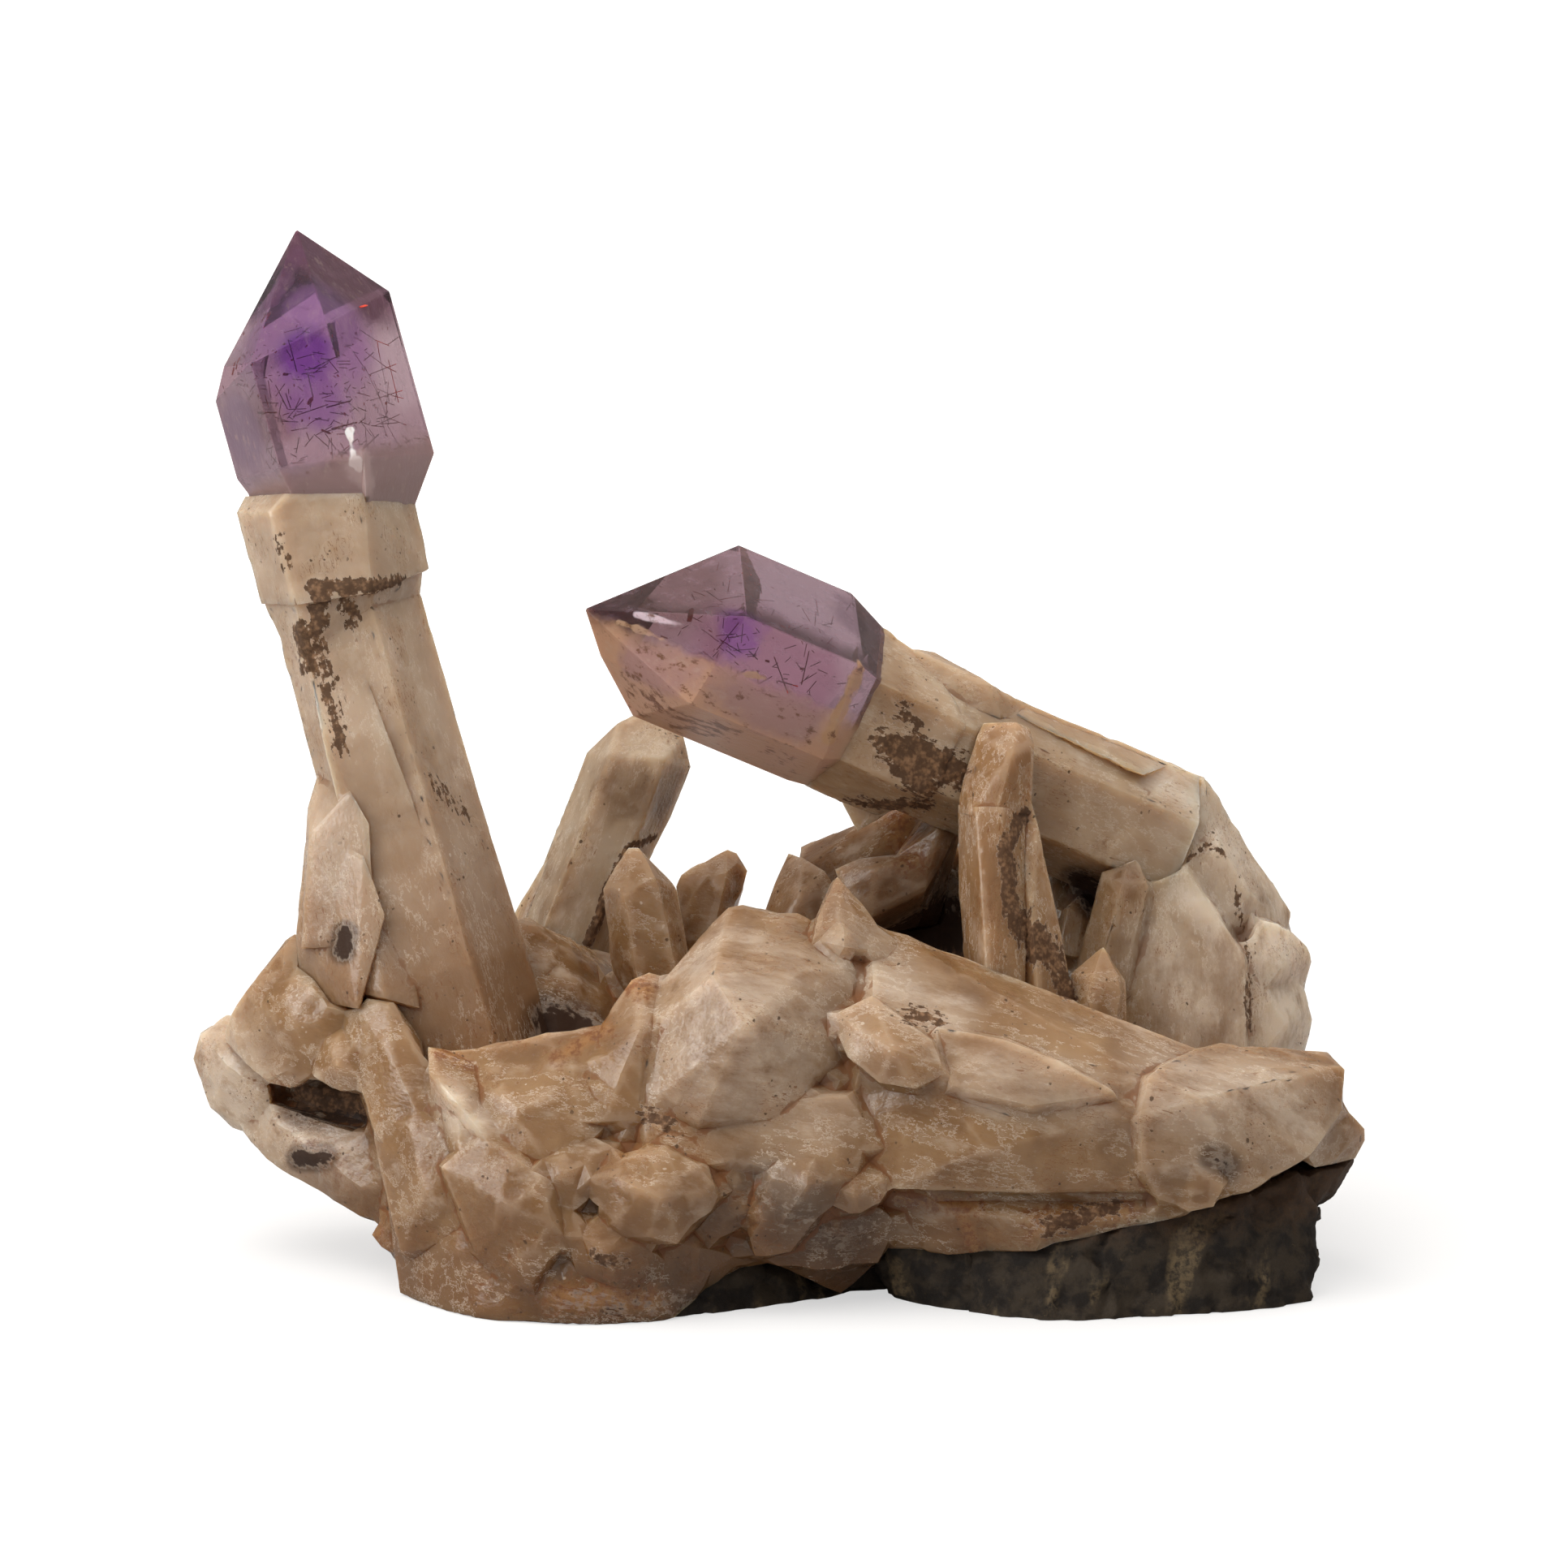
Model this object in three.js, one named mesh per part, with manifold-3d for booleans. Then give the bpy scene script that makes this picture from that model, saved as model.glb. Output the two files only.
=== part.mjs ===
// Amethyst sceptre specimen: two purple quartz sceptres and smaller quartz crystals on a crust of milky
// quartz, with a slab of dark host rock under the right side. Millimetres, +Z up, +X right, +Y away from
// the front.
import * as THREE from "three";
import { ConvexGeometry } from "three/addons/geometries/ConvexGeometry.js";
import { mergeVertices } from "three/addons/utils/BufferGeometryUtils.js";
import Module from "manifold-3d";

// Driving dimensions. Most corners are measured in the front view, which looks down by VIEW_TILT from
// VIEW_DISTANCE away: [right, up, back] from the point that lies VIEW_CENTRE_HEIGHT above the table.
const VIEW_TILT = THREE.MathUtils.degToRad(10);
const VIEW_DISTANCE = 700;
const VIEW_CENTRE_HEIGHT = 46.5;
const CONTACT_GAP = 0.3; // between a crystal's root and the socket that it grew in
const TABLE_CUT_DEPTH = 20; // how far below the table the underside is cut away, to leave it flat
const TABLE_CUT_WIDTH = 400;
const FOOT_SPREAD = 1.12; // a small point is this much wider at its foot
const PYRAMID_RISE = 1.15; // height of a quartz pyramid over its corner radius
const SHOULDER_STEPS = [-0.1, 0.16]; // every other shoulder corner is lower, over the corner radius
const TIP_SHIFT = 0.12; // how far a small point's tip is off its axis, over the corner radius

const COLOURS = {
  amethyst: { color: 0x8f6a92, roughness: 0.12 },
  milky: { color: 0xb79a80, roughness: 0.45 },
  smoky: { color: 0x93816f, roughness: 0.4 },
  rock: { color: 0x2e2b27, roughness: 0.9 },
};

const wasm = await Module();
wasm.setup();

// A direction of the front view, [right, up, back], in the part's own axes.
function turned(right, up, back) {
  const c = Math.cos(VIEW_TILT);
  const s = Math.sin(VIEW_TILT);
  return new THREE.Vector3(right, back * c + up * s, up * c - back * s);
}

// The point that the front view shows at (right, up), back behind the middle plane.
function seen([right, up, back]) {
  const spread = 1 + back / VIEW_DISTANCE;
  const point = turned(right * spread, up * spread, back);
  point.z += VIEW_CENTRE_HEIGHT;
  return point;
}

// A block is the list of corners of one convex lump.
const lump = (...corners) => corners.map(seen);
const backLump = (...corners) => corners.map(([x, y, z]) => new THREE.Vector3(x, y, z));

// A crystal's own axes: its foot, its axis towards the tip, its side and its back. lean is the tilt to the
// right in the front view and nod the tilt towards the viewer, in degrees.
function axesOf({ foot, lean, nod = 0 }) {
  const l = THREE.MathUtils.degToRad(lean);
  const n = THREE.MathUtils.degToRad(nod);
  return {
    origin: seen(foot),
    side: turned(Math.cos(l), -Math.sin(l), 0),
    back: turned(Math.sin(l) * Math.sin(n), Math.cos(l) * Math.sin(n), Math.cos(n)),
    along: turned(Math.sin(l) * Math.cos(n), Math.cos(l) * Math.cos(n), -Math.sin(n)),
  };
}

// One crystal block from corners given as [side, back, along] in the crystal's own axes.
function prism(axes, ...corners) {
  return corners.map(([side, back, along]) =>
    axes.origin
      .clone()
      .addScaledVector(axes.side, side)
      .addScaledVector(axes.back, back)
      .addScaledVector(axes.along, along),
  );
}

// A ring of corners: a cross-section set at one height, or at a height for each corner.
function ring(section, heights, scale = 1) {
  return section.map(([side, back], i) => [
    side * scale,
    back * scale,
    Array.isArray(heights) ? heights[i] : heights,
  ]);
}

// A six-sided section of a given corner radius, turned by spin degrees and flattened front to back.
function hexagon(radius, spin = 0, flatness = 1) {
  return Array.from({ length: 6 }, (_, i) => {
    const angle = THREE.MathUtils.degToRad(spin + i * 60);
    return [radius * Math.cos(angle), radius * Math.sin(angle) * flatness];
  });
}

// A small quartz point: a slightly tapered six-sided prism under a six-sided pyramid.
function quartzPoint({ foot, lean, nod = 0, radius, length, spin = 0, flatness = 1 }) {
  const section = hexagon(radius, spin, flatness);
  const shoulder = length - radius * PYRAMID_RISE;
  const heights = section.map((_, i) => shoulder + SHOULDER_STEPS[i % 2] * radius);
  return prism(
    axesOf({ foot, lean, nod }),
    ...ring(section, 0, FOOT_SPREAD),
    ...ring(section, heights),
    [radius * TIP_SHIFT, 0, length],
  );
}

function geometryToSolid(geometry) {
  const bare = geometry.clone();
  bare.deleteAttribute("normal");
  bare.deleteAttribute("uv");
  const merged = mergeVertices(bare, 1e-4);
  return new wasm.Manifold(
    new wasm.Mesh({
      numProp: 3,
      vertProperties: merged.attributes.position.array,
      triVerts: new Uint32Array(merged.index.array),
    }),
  );
}

const blockSolid = (corners) => geometryToSolid(new ConvexGeometry(corners));
const joined = (solids) => solids.reduce((all, next) => all.add(next));

// The block grown by the contact gap on every side, to cut the socket that it stands in.
function socket(corners) {
  const offsets = [-CONTACT_GAP, CONTACT_GAP];
  return blockSolid(
    corners.flatMap((c) =>
      offsets.flatMap((x) =>
        offsets.flatMap((y) => offsets.map((z) => new THREE.Vector3(c.x + x, c.y + y, c.z + z))),
      ),
    ),
  );
}

function largestPiece(solid) {
  return solid.decompose().reduce((a, b) => (b.volume() > a.volume() ? b : a));
}

// The tall sceptre leans left; its axes start at the neck under the amethyst head.
const TALL = axesOf({ foot: [-44.9, 28.6, -3], lean: -15.5 });
const NECK_SLOPE = -0.27; // the neck runs level in the front view, so it is oblique to the leaning axis
const atNeck = (section, drop) => section.map(([side, back]) => [side, back, side * NECK_SLOPE - drop]);

const TALL_HEAD = [[-8.3, 0.3], [-3.5, -8], [4.6, -8], [11, 2.8], [7.4, 9.2], [-3.2, 9.2]];
const TALL_NECK = [[-7.6, 0.3], [-3.2, -6.6], [3.6, -6.6], [7.8, 1.5], [5.4, 7.2], [-3, 7.2]];
const TALL_COLLAR = [[-9, -1], [-5.6, -7], [1.8, -7], [7.4, 1.5], [4.2, 6.9], [-4.6, 6.7]];
const TALL_STEM = [[-8.1, -1.6], [-6.1, -5.2], [1.3, -5.2], [5.8, 2.4], [3.4, 6.2], [-4.1, 5.6]];
const TALL_FOOT = [[-12, 0], [-8.5, -7.5], [1.5, -8.8], [6.6, 0.5], [4, 7], [-7, 8]];

function tallHead() {
  return [
    prism(
      TALL,
      ...ring(TALL_HEAD, [11.7, 13.8, 15.4, 17.8, 17, 13]),
      [3.9, 0.2, 25.9],
      [-6.5, -1.2, 14.7],
      ...ring(TALL_HEAD, [3.8, 3.2, 2, 1.2, 1.6, 3]),
      ...atNeck(TALL_NECK, 0),
    ),
  ];
}

function tallStem() {
  return [
    // Collar under the head, with its lower lip
    prism(
      TALL,
      ...atNeck(TALL_NECK, 0),
      ...ring(TALL_COLLAR, [0.5, -0.6, -3.2, -5.6, -3.4, -0.8]),
      ...ring(TALL_COLLAR, [-8.6, -9.8, -10.6, -9.6, -9.5, -9]),
    ),
    prism(TALL, ...ring(TALL_COLLAR, -8.6, 0.97), ...ring(TALL_STEM, [-12.6, -15, -12, -11.8, -12, -12])),
    // Shaft, and the wider foot that it swells into
    prism(TALL, ...ring(TALL_STEM, -9), ...ring(TALL_STEM, -46, 1.05)),
    prism(TALL, ...ring(TALL_STEM, -28), ...ring(TALL_FOOT, -48), ...ring(TALL_FOOT, -58, 0.97)),
    // Raised plate on the front of the shaft
    prism(
      TALL, [-5.6, -4.8, -14], [-1.4, -4.8, -15], [-6.4, -6, -22], [-0.6, -6, -24], [-7, -5.4, -36],
      [0.6, -6.4, -38], [-5, -3, -14], [0, -3, -40],
    ),
    // Rib where the shaft sweeps forward into the foot
    lump(
      [-42.2, -3, -6.4], [-39.8, -3.4, -7], [-39.4, -21, -12.2], [-43, -20, -9.8], [-36, -22, -11.6],
      [-41, -12, -9.6], [-43, -16, -3], [-37, -10, -4], [-36, -23, -4], [-43, -22, -3],
    ),
    // Side crystal and the two steps down its left flank
    lump(
      [-45.8, 0.9, -5], [-44.8, 1.5, -3], [-42.8, -0.8, -9], [-46.8, -2.4, -6], [-46.6, -4.9, -8],
      [-41, -4, -10], [-40.4, -16, -11], [-47.4, -16, -8], [-46, -16, 2], [-41, -16, 3], [-44, -1, 1],
    ),
    lump(
      [-47, -5.9, -5], [-45, -5.3, -8], [-41.5, -7.2, -10.5], [-47.9, -14.5, -6], [-47.6, -21, -5],
      [-42, -22, -12], [-39.5, -13, -11.5], [-46.5, -18, 3], [-45, -7, 1], [-41, -22, 2],
    ),
  ];
}

// The leaning sceptre points left and a little forward; its axes start at the ledge behind the head.
const LEANING = axesOf({ foot: [5.9, 8.5, -3], lean: -67.5, nod: 20 });
const LEANING_HEAD = [[9.7, -1.7], [3.4, -9.3], [-6.4, -7.6], [-9.6, 1.7], [-3.4, 9.3], [6.4, 7.6]];
const LEANING_NECK = [[7.6, -1.3], [2.6, -7.6], [-5.6, -6.6], [-9.3, 1.5], [-3.2, 8], [5.4, 6.4]];
const LEANING_COLLAR = [[6.6, -2.2], [2.2, -7.4], [-5.8, -7.2], [-9.4, 0.6], [-4.4, 7.4], [4.4, 6.4]];
const LEANING_STEM = [[6.4, -2.5], [2, -7], [-5, -7], [-8.3, 0], [-4, 6.5], [3.5, 6]];

function leaningHead() {
  return [
    prism(
      LEANING,
      ...ring(LEANING_HEAD, [16.7, 15.8, 17, 18.9, 17.5, 16.5]),
      [-1.8, -1, 28.5],
      [-5.4, 0, 24.9],
      ...ring(LEANING_HEAD, [4, 3.2, 2.3, 1.5, 2, 3.4]),
      ...ring(LEANING_NECK, [0.2, 0.9, 1.2, 0.4, 0.2, 0]),
    ),
  ];
}

function leaningStem() {
  return [
    prism(
      LEANING,
      ...ring(LEANING_NECK, [-0.4, 0.6, 0.9, 0.1, 0, -0.4]),
      ...ring(LEANING_COLLAR, [-2, -2, -3, -4, -3, -2]),
      ...ring(LEANING_COLLAR, [-6, -10, -9.5, -8, -8, -6], 0.98),
    ),
    prism(LEANING, ...ring(LEANING_STEM, 0, 0.96), ...ring(LEANING_STEM, -37)),
    // Broken ridges along the top of the stem
    prism(
      LEANING, [6.9, -2, -4], [7.4, 0, -7], [6.6, -4, -12], [6.8, 2, -14], [5.9, -2, -18], [5, 2, -3],
      [4, -4, -5], [5, 3, -15], [4, -5, -14],
    ),
    prism(
      LEANING, [5.8, -3, -17], [6.2, -1, -21], [5.5, 2, -30], [6, -3, -33], [5, -4, -16], [4, 3, -18],
      [4.4, -6, -30], [4, 3, -34],
    ),
    // Stump of a crystal that hangs from the collar
    lump(
      [5.8, -1.6, 1], [7.3, -4.5, 1.6], [10.8, -2.2, 0.4], [6.6, -0.6, 6], [8.2, -3.6, 6.4],
      [13, -0.6, 6], [11, 2, 3],
    ),
  ];
}

// The upright pair of prisms that stands before the leaning stem.
function pillarCrystal() {
  return [
    lump(
      [19.2, 4.7, -6.5], [19.8, 5.8, -5.5], [22.8, 5.9, -6.5], [24.1, 5.3, -5.5], [24.5, 3.9, -7.5],
      [22.4, 3, -9.9], [24.2, -2.7, -8.5], [17.3, -2.7, -7], [17.9, 0.5, -7.5], [18.6, -3, -10.1],
      [20.9, -3, -10.9], [19, 3, -2.5], [23.6, 3, -2.5], [18, -3, -2.5], [23.6, -3, -2.5],
    ),
    lump(
      [17.3, -2.2, -7], [19, -2.4, -10.5], [21.4, -2.4, -10.9], [23.6, -2.7, -8.5], [21.8, -6, -9.1],
      [17.4, -10.7, -7.3], [19.6, -11, -11.9], [22.2, -11, -11.1], [18.7, -25, -7.5], [20.4, -25, -13.5],
      [23.6, -25, -12.5], [24.2, -25, -5.5], [18, -4, -2.5], [22.8, -4, -2.5], [18.6, -25, -1.5],
      [23, -25, -1.5],
    ),
    lump(
      [24.3, -1.9, -6.5], [24.9, -4.1, -8.1], [22.9, -3.4, -7.9], [26.1, -14.6, -8.5],
      [28.2, -20.1, -8.5], [28.4, -25, -8.5], [24.4, -12, -10.5], [25.4, -25, -12.1], [23, -25, -9.5],
      [22.6, -10, -7.5], [24, -3, -2.1], [26, -14, -1.9], [28, -25, -1.9], [22.6, -25, -1.9],
    ),
  ];
}

// The crystal behind the gap: a narrow shaft under a wider blunt cap, with a sliver grown along its back.
const REAR = axesOf({ foot: [-22.3, -17.1, 15], lean: 21, nod: -3 });
const REAR_SHAFT = [[-4.5, 0.3], [-2.2, -3.9], [2.2, -4], [4.6, -0.2], [2.3, 3.9], [-2.3, 3.9]];
const REAR_CAP = [[-4.5, 0.4], [-2.3, -4.2], [2.9, -4.3], [5.4, 0.2], [2.7, 4.2], [-2.4, 4.1]];

function backCrystal() {
  return [
    prism(REAR, ...ring(REAR_SHAFT, -10, 1.05), ...ring(REAR_SHAFT, 15)),
    prism(
      REAR,
      ...ring(REAR_SHAFT, 9, 0.98),
      ...ring(REAR_CAP, [12.6, 13, 15.4, 17.4, 15, 13]),
      ...ring(REAR_CAP, [20.3, 20.6, 22.4, 22.7, 22.8, 20.4]),
      [-2.7, -1, 24],
      [-1.5, 0, 25.5],
      [1, 0.6, 26.6],
      [3.6, 0, 25.4],
    ),
    prism(
      REAR, [2, 1, -8], [5.4, 1.4, -8], [5.6, 2.6, 6], [4.8, 2, 10.4], [2, 4.6, -8], [2, 4.6, 9],
      [2, 1, 9],
    ),
    prism(
      REAR, [-4.6, 0, -9], [-6.2, 1.6, -9], [-5.4, 1, 4], [-4.4, 0, 9], [-3, 3.8, -9], [-3, 3.8, 8],
      [-5, 3.6, -9],
    ),
  ];
}

// The smoky grey crystals that slant up to the leaning stem.
function slantedCrystal() {
  return [
    lump(
      [1.8, -6.3, 12], [4.3, -6.2, 10], [7.3, -4.3, 9.5], [10.3, -3.2, 9], [13.4, -1.7, 9], [16, -0.6, 9],
      [17.6, -3.5, 7], [13.9, -12, 6], [5.1, -13, 6], [1.5, -8.7, 9], [2, -14, 12], [3, -7, 17],
      [15, -2, 16], [15, -14, 15],
    ),
    lump(
      [5.2, -8.5, 4], [7.5, -7.5, 3.6], [11.1, -7.1, 3], [14.6, -6.9, 3], [15.5, -7.5, 3.4],
      [13.8, -10.4, 2], [8.7, -12.9, 2], [5.9, -10.3, 3], [9, -8.4, 1.6], [6, -9, 9], [15, -7, 9],
      [13, -14, 9], [8, -15, 8],
    ),
    lump(
      [17.1, -0.4, 5], [15.9, -1.6, 5], [13.9, -4.3, 4], [11.1, -7.1, 4], [13, -10.2, 3],
      [13.8, -10.4, 3], [15.5, -7.5, 3], [17, -4.3, 3.6], [15.4, -4.4, 1.8], [14, -3, 9], [16.6, -2, 8],
      [13, -9, 9],
    ),
    lump(
      [-1.9, -13, 7], [-0.8, -9.8, 7], [0.5, -7, 8], [1.8, -7.4, 6.6], [3.9, -8.7, 5], [5.2, -10.7, 4.4],
      [1.6, -11, 3.4], [4.3, -16, 4], [-1.3, -16, 4], [0.6, -8, 13], [4, -10, 13], [-1, -16, 13],
    ),
  ];
}

// The big broken crystal at the right, whose back the leaning stem runs into.
function crystalWall() {
  return [
    // Upper rind and its shoulder
    lump(
      [34.6, 2.6, 8], [37.8, 2.2, 6], [41.3, 0.8, 7], [42.7, -1.3, 8], [44.8, -5, 9], [38, -3.4, 3.4],
      [39.6, -8.6, 3.4], [42.4, -9.4, 4.6], [33, -3.4, 6], [36, 1.4, 20], [42, -2, 21], [37, -10, 20],
      [44, -9, 20],
    ),
    lump(
      [42.6, -1.8, 10], [44.8, -5, 9.4], [46.7, -9, 10], [48.6, -10.7, 10], [49.8, -12.6, 11],
      [49.6, -14.6, 10], [43, -14.4, 3.6], [39.6, -8.6, 3.6], [42.6, -6, 4.4], [46, -11, 4.8],
      [44, -6, 21], [48.6, -14, 21], [40, -14, 20],
    ),
    // Right-hand knobs, one under the other
    lump(
      [47, -13.4, 4.6], [49.6, -14.2, 6], [51.6, -16.3, 7], [51.9, -17.5, 8], [51.1, -20.3, 8],
      [46, -21, 2], [45.5, -16.4, 2.6], [49, -18, 3.4], [50, -16, 17], [50, -21, 18], [44, -18, 18],
    ),
    lump(
      [46, -19, 2], [51, -19.8, 7], [51.7, -22.2, 7], [52, -23.1, 8], [51, -27, 8], [45.7, -28, 0.6],
      [49.4, -23.6, 3], [50, -20, 18], [50, -28, 18], [44, -28, 17],
    ),
    lump(
      [43, -11, 8], [47, -12.6, 8], [49.8, -14, 12], [50.6, -21, 12], [45, -22, 6], [42, -16, 6],
      [49, -13, 20], [50.4, -22, 19], [42, -12, 20], [42, -22, 19],
    ),
    // Inner crystal with the tall striated face
    lump(
      [34.7, -6.7, 4], [37.9, -5.3, 4], [39.6, -8.4, 2.6], [40.6, -11.1, 2], [43.4, -14.2, 1.6],
      [45.5, -17.3, 1], [45.6, -30, -1], [40.4, -30, -3], [33, -30, -1.6], [32.6, -17, 1.4],
      [34.2, -14.2, 2], [36.4, -10.1, 1.6], [34, -8, 12], [45, -16, 13], [45, -30, 13], [32, -30, 13],
    ),
    // Walls at the back of the pocket
    lump(
      [24.8, 1, 12], [29.1, -1.5, 10], [34.7, -3.3, 8], [38, -3.3, 6], [35, -7.6, 6], [31.5, -9.1, 8.6],
      [29.3, -8.8, 9.6], [27, -4, 11], [26, 0, 20], [37, -1, 20], [30, -10, 19], [36, -9, 19],
    ),
    lump(
      [25, -1, 12.6], [28.6, -7, 11.6], [29, -20, 10], [30.4, -28, 9], [22, -28, 10], [22.6, -12, 12],
      [27, -14, 9.4], [25, -2, 19], [30, -6, 20], [31, -28, 20], [22, -28, 20],
    ),
    lump(
      [28, -8, 11], [31.6, -8.6, 10], [34.4, -13, 8], [34, -28, 6], [28, -28, 7.6], [29, -12, 20],
      [34, -28, 20],
    ),
    lump(
      [10, -8, 15.6], [18, -6, 15], [26, -4, 15.4], [26.4, -18, 13], [22, -24, 11], [10, -20, 13],
      [11, -8, 21], [26, -4, 21], [26, -24, 20], [10, -21, 20],
    ),
    // Small points in the pocket
    quartzPoint({ foot: [31, -20.5, 1.2], lean: 14, radius: 2.6, length: 14, spin: 20, flatness: 0.9 }),
    quartzPoint({ foot: [28.6, -17, 8.6], lean: 6, radius: 1.7, length: 6.4, spin: 40 }),
  ];
}

// Dark host rock, flat underneath, with a bay in its front edge.
function matrixRock() {
  return [
    lump(
      [23.8, -46.9, -20.5], [18.5, -44, -18.5], [29, -45, -20.4], [36.3, -42.9, -20.2],
      [44.2, -41.4, -18.5], [50.6, -38.6, -15], [52.2, -41.5, -13.5], [52.3, -46.9, -14],
      [52, -49.2, -14.5], [51.1, -54, -15.5], [46.2, -54, -18.5], [31.4, -56, -22], [27.4, -56, -23],
      [22.6, -56, -22], [18.7, -54, -19], [20, -44, 4], [50, -36, 4], [51.6, -46, 4],
    ),
    lump(
      [56, -36.9, -8], [55.2, -37.9, -10.4], [54.2, -40, -10.6], [50.6, -38.8, -14.6],
      [52.2, -41.3, -13.3], [51.6, -42.6, -9], [49, -36.6, 2], [54.6, -37.4, 0], [53.6, -40, 2],
      [50, -43, 2],
    ),
    lump(
      [10.6, -44.8, -17], [18.8, -44.2, -18.4], [18.7, -54, -18.8], [14.6, -54, -15.6], [11, -53, -12.2],
      [9.4, -48, -13], [9, -44, 4], [20, -44, 4],
    ),
    lump(
      [-7.6, -47.8, -18.6], [-5.3, -46.8, -17.4], [-2.9, -47.8, -16.4], [3.9, -49.4, -12.6],
      [3, -54, -12.6], [-2, -54, -17.6], [-9, -55, -21], [-10.6, -50.6, -20.6], [-13.6, -55, -22.8],
      [-12, -44, 0], [12, -42, 0], [10, -53, -11],
    ),
    // Hidden rear half of the slab
    backLump(
      [-14, -18, -4], [-12, -18, 8], [12, -20, 8], [46, -22, 9], [50, -14, 9], [51, 0, 9.5], [47, 14, 9],
      [34, 20, 10], [12, 22, 9], [-8, 18, 8], [-18, 6, 7], [-18, 2, -4], [-6, 19, -4], [14, 24, -4],
      [36, 22, -4], [49, 14, -4], [52, 0, -4], [50, -18, -4],
    ),
  ];
}

// Hump in the middle of the front, and the crystal with a stained tip at its left.
function frontHump() {
  return [
    lump(
      [-11.6, -19.3, -17], [-7.8, -14.7, -14], [-5.4, -12.2, -13], [-3.4, -12.1, -13], [1.4, -13, -13.6],
      [6.7, -17.9, -18], [6.8, -25.4, -20.6], [1, -30.8, -24], [-1.1, -32.6, -24.4], [-8.5, -33.4, -24.4],
      [-12.6, -31, -22.6], [-13.8, -24.4, -20], [-3.7, -23.5, -27], [-7, -19, -23.4], [1.6, -18.4, -21],
      [-10, -18, -4], [4, -17, -4], [8, -30, -4], [-12, -34, -4],
    ),
    lump(
      [-13.3, -18.7, -16], [-11.8, -19.2, -15.6], [-14.9, -19.4, -16.6], [-16.3, -21.8, -17.4],
      [-18, -23.9, -18], [-20.1, -29.1, -20.4], [-17.7, -33.5, -22.8], [-14.1, -33.1, -22.4],
      [-11.4, -25.9, -19.4], [-14, -24, -21.6], [-13, -20, -9], [-18, -26, -8], [-14, -34, -8],
    ),
  ];
}

// Rim of the basin at the left, and the small broken point on it.
function basinRim() {
  return [
    lump(
      [-32.8, -26.5, -16], [-28.5, -28.6, -17], [-25.2, -28.4, -17], [-21.7, -26.5, -17.4],
      [-18, -23.9, -17.6], [-18.5, -33.5, -22.4], [-24.5, -36.7, -23.4], [-30.1, -35.5, -21.6],
      [-26, -32, -22.4], [-21, -29.6, -21.4], [-30, -28, -8], [-18, -25, -8], [-18, -36, -6],
      [-32, -36, -6],
    ),
    lump(
      [-35.1, -25.8, -17], [-32.8, -26.5, -15.6], [-29.3, -28.2, -17.6], [-29.6, -34.7, -22.6],
      [-32.4, -31.4, -21.8], [-34.9, -28.5, -19.4], [-34.4, -32, -17], [-31, -28, -12], [-33, -34, -12],
    ),
  ];
}

// Ribbed foot that sweeps down from the tall stem.
function ribbedFoot() {
  return [
    lump(
      [-43.4, -19.4, -9.6], [-39.2, -20.6, -12.2], [-35.7, -26.7, -15], [-34.9, -34.7, -18],
      [-40.1, -34.7, -14.6], [-41.7, -29.9, -12], [-43.3, -22.7, -10], [-38.6, -27, -14.8], [-42, -22, 0],
      [-36, -22, 0], [-35, -36, 0], [-40, -36, 0],
    ),
    lump(
      [-40.5, -34, -13.6], [-37, -33, -17], [-33, -33.1, -18.6], [-30.1, -38.7, -20],
      [-29.3, -44.3, -21.4], [-37.7, -46.3, -15.6], [-39.3, -39.5, -14], [-35.4, -40, -19.2],
      [-39, -36, 0], [-30, -36, 0], [-30, -46, 0], [-38, -44, 0],
    ),
    lump(
      [-38.9, -41.1, -13], [-29.3, -38.7, -20.4], [-25, -42, -23.4], [-22.9, -47.5, -23.8],
      [-22.1, -55, -24], [-28.7, -55, -22.7], [-33.7, -54, -17.9], [-37.3, -53, -12.6],
      [-38.2, -46.7, -12.6], [-32, -46, -20.6], [-38, -42, 2], [-22, -42, 2], [-22, -50, 2],
      [-36, -50, 0],
    ),
    lump(
      [-34.6, -29, -17.4], [-33, -30, -19.4], [-31.8, -36, -21.6], [-29.4, -42, -23.4],
      [-25.6, -49, -24.2], [-28.6, -47, -21.4], [-32.6, -40, -19], [-31, -40, -16], [-27, -49, -18],
    ),
  ];
}

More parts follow.
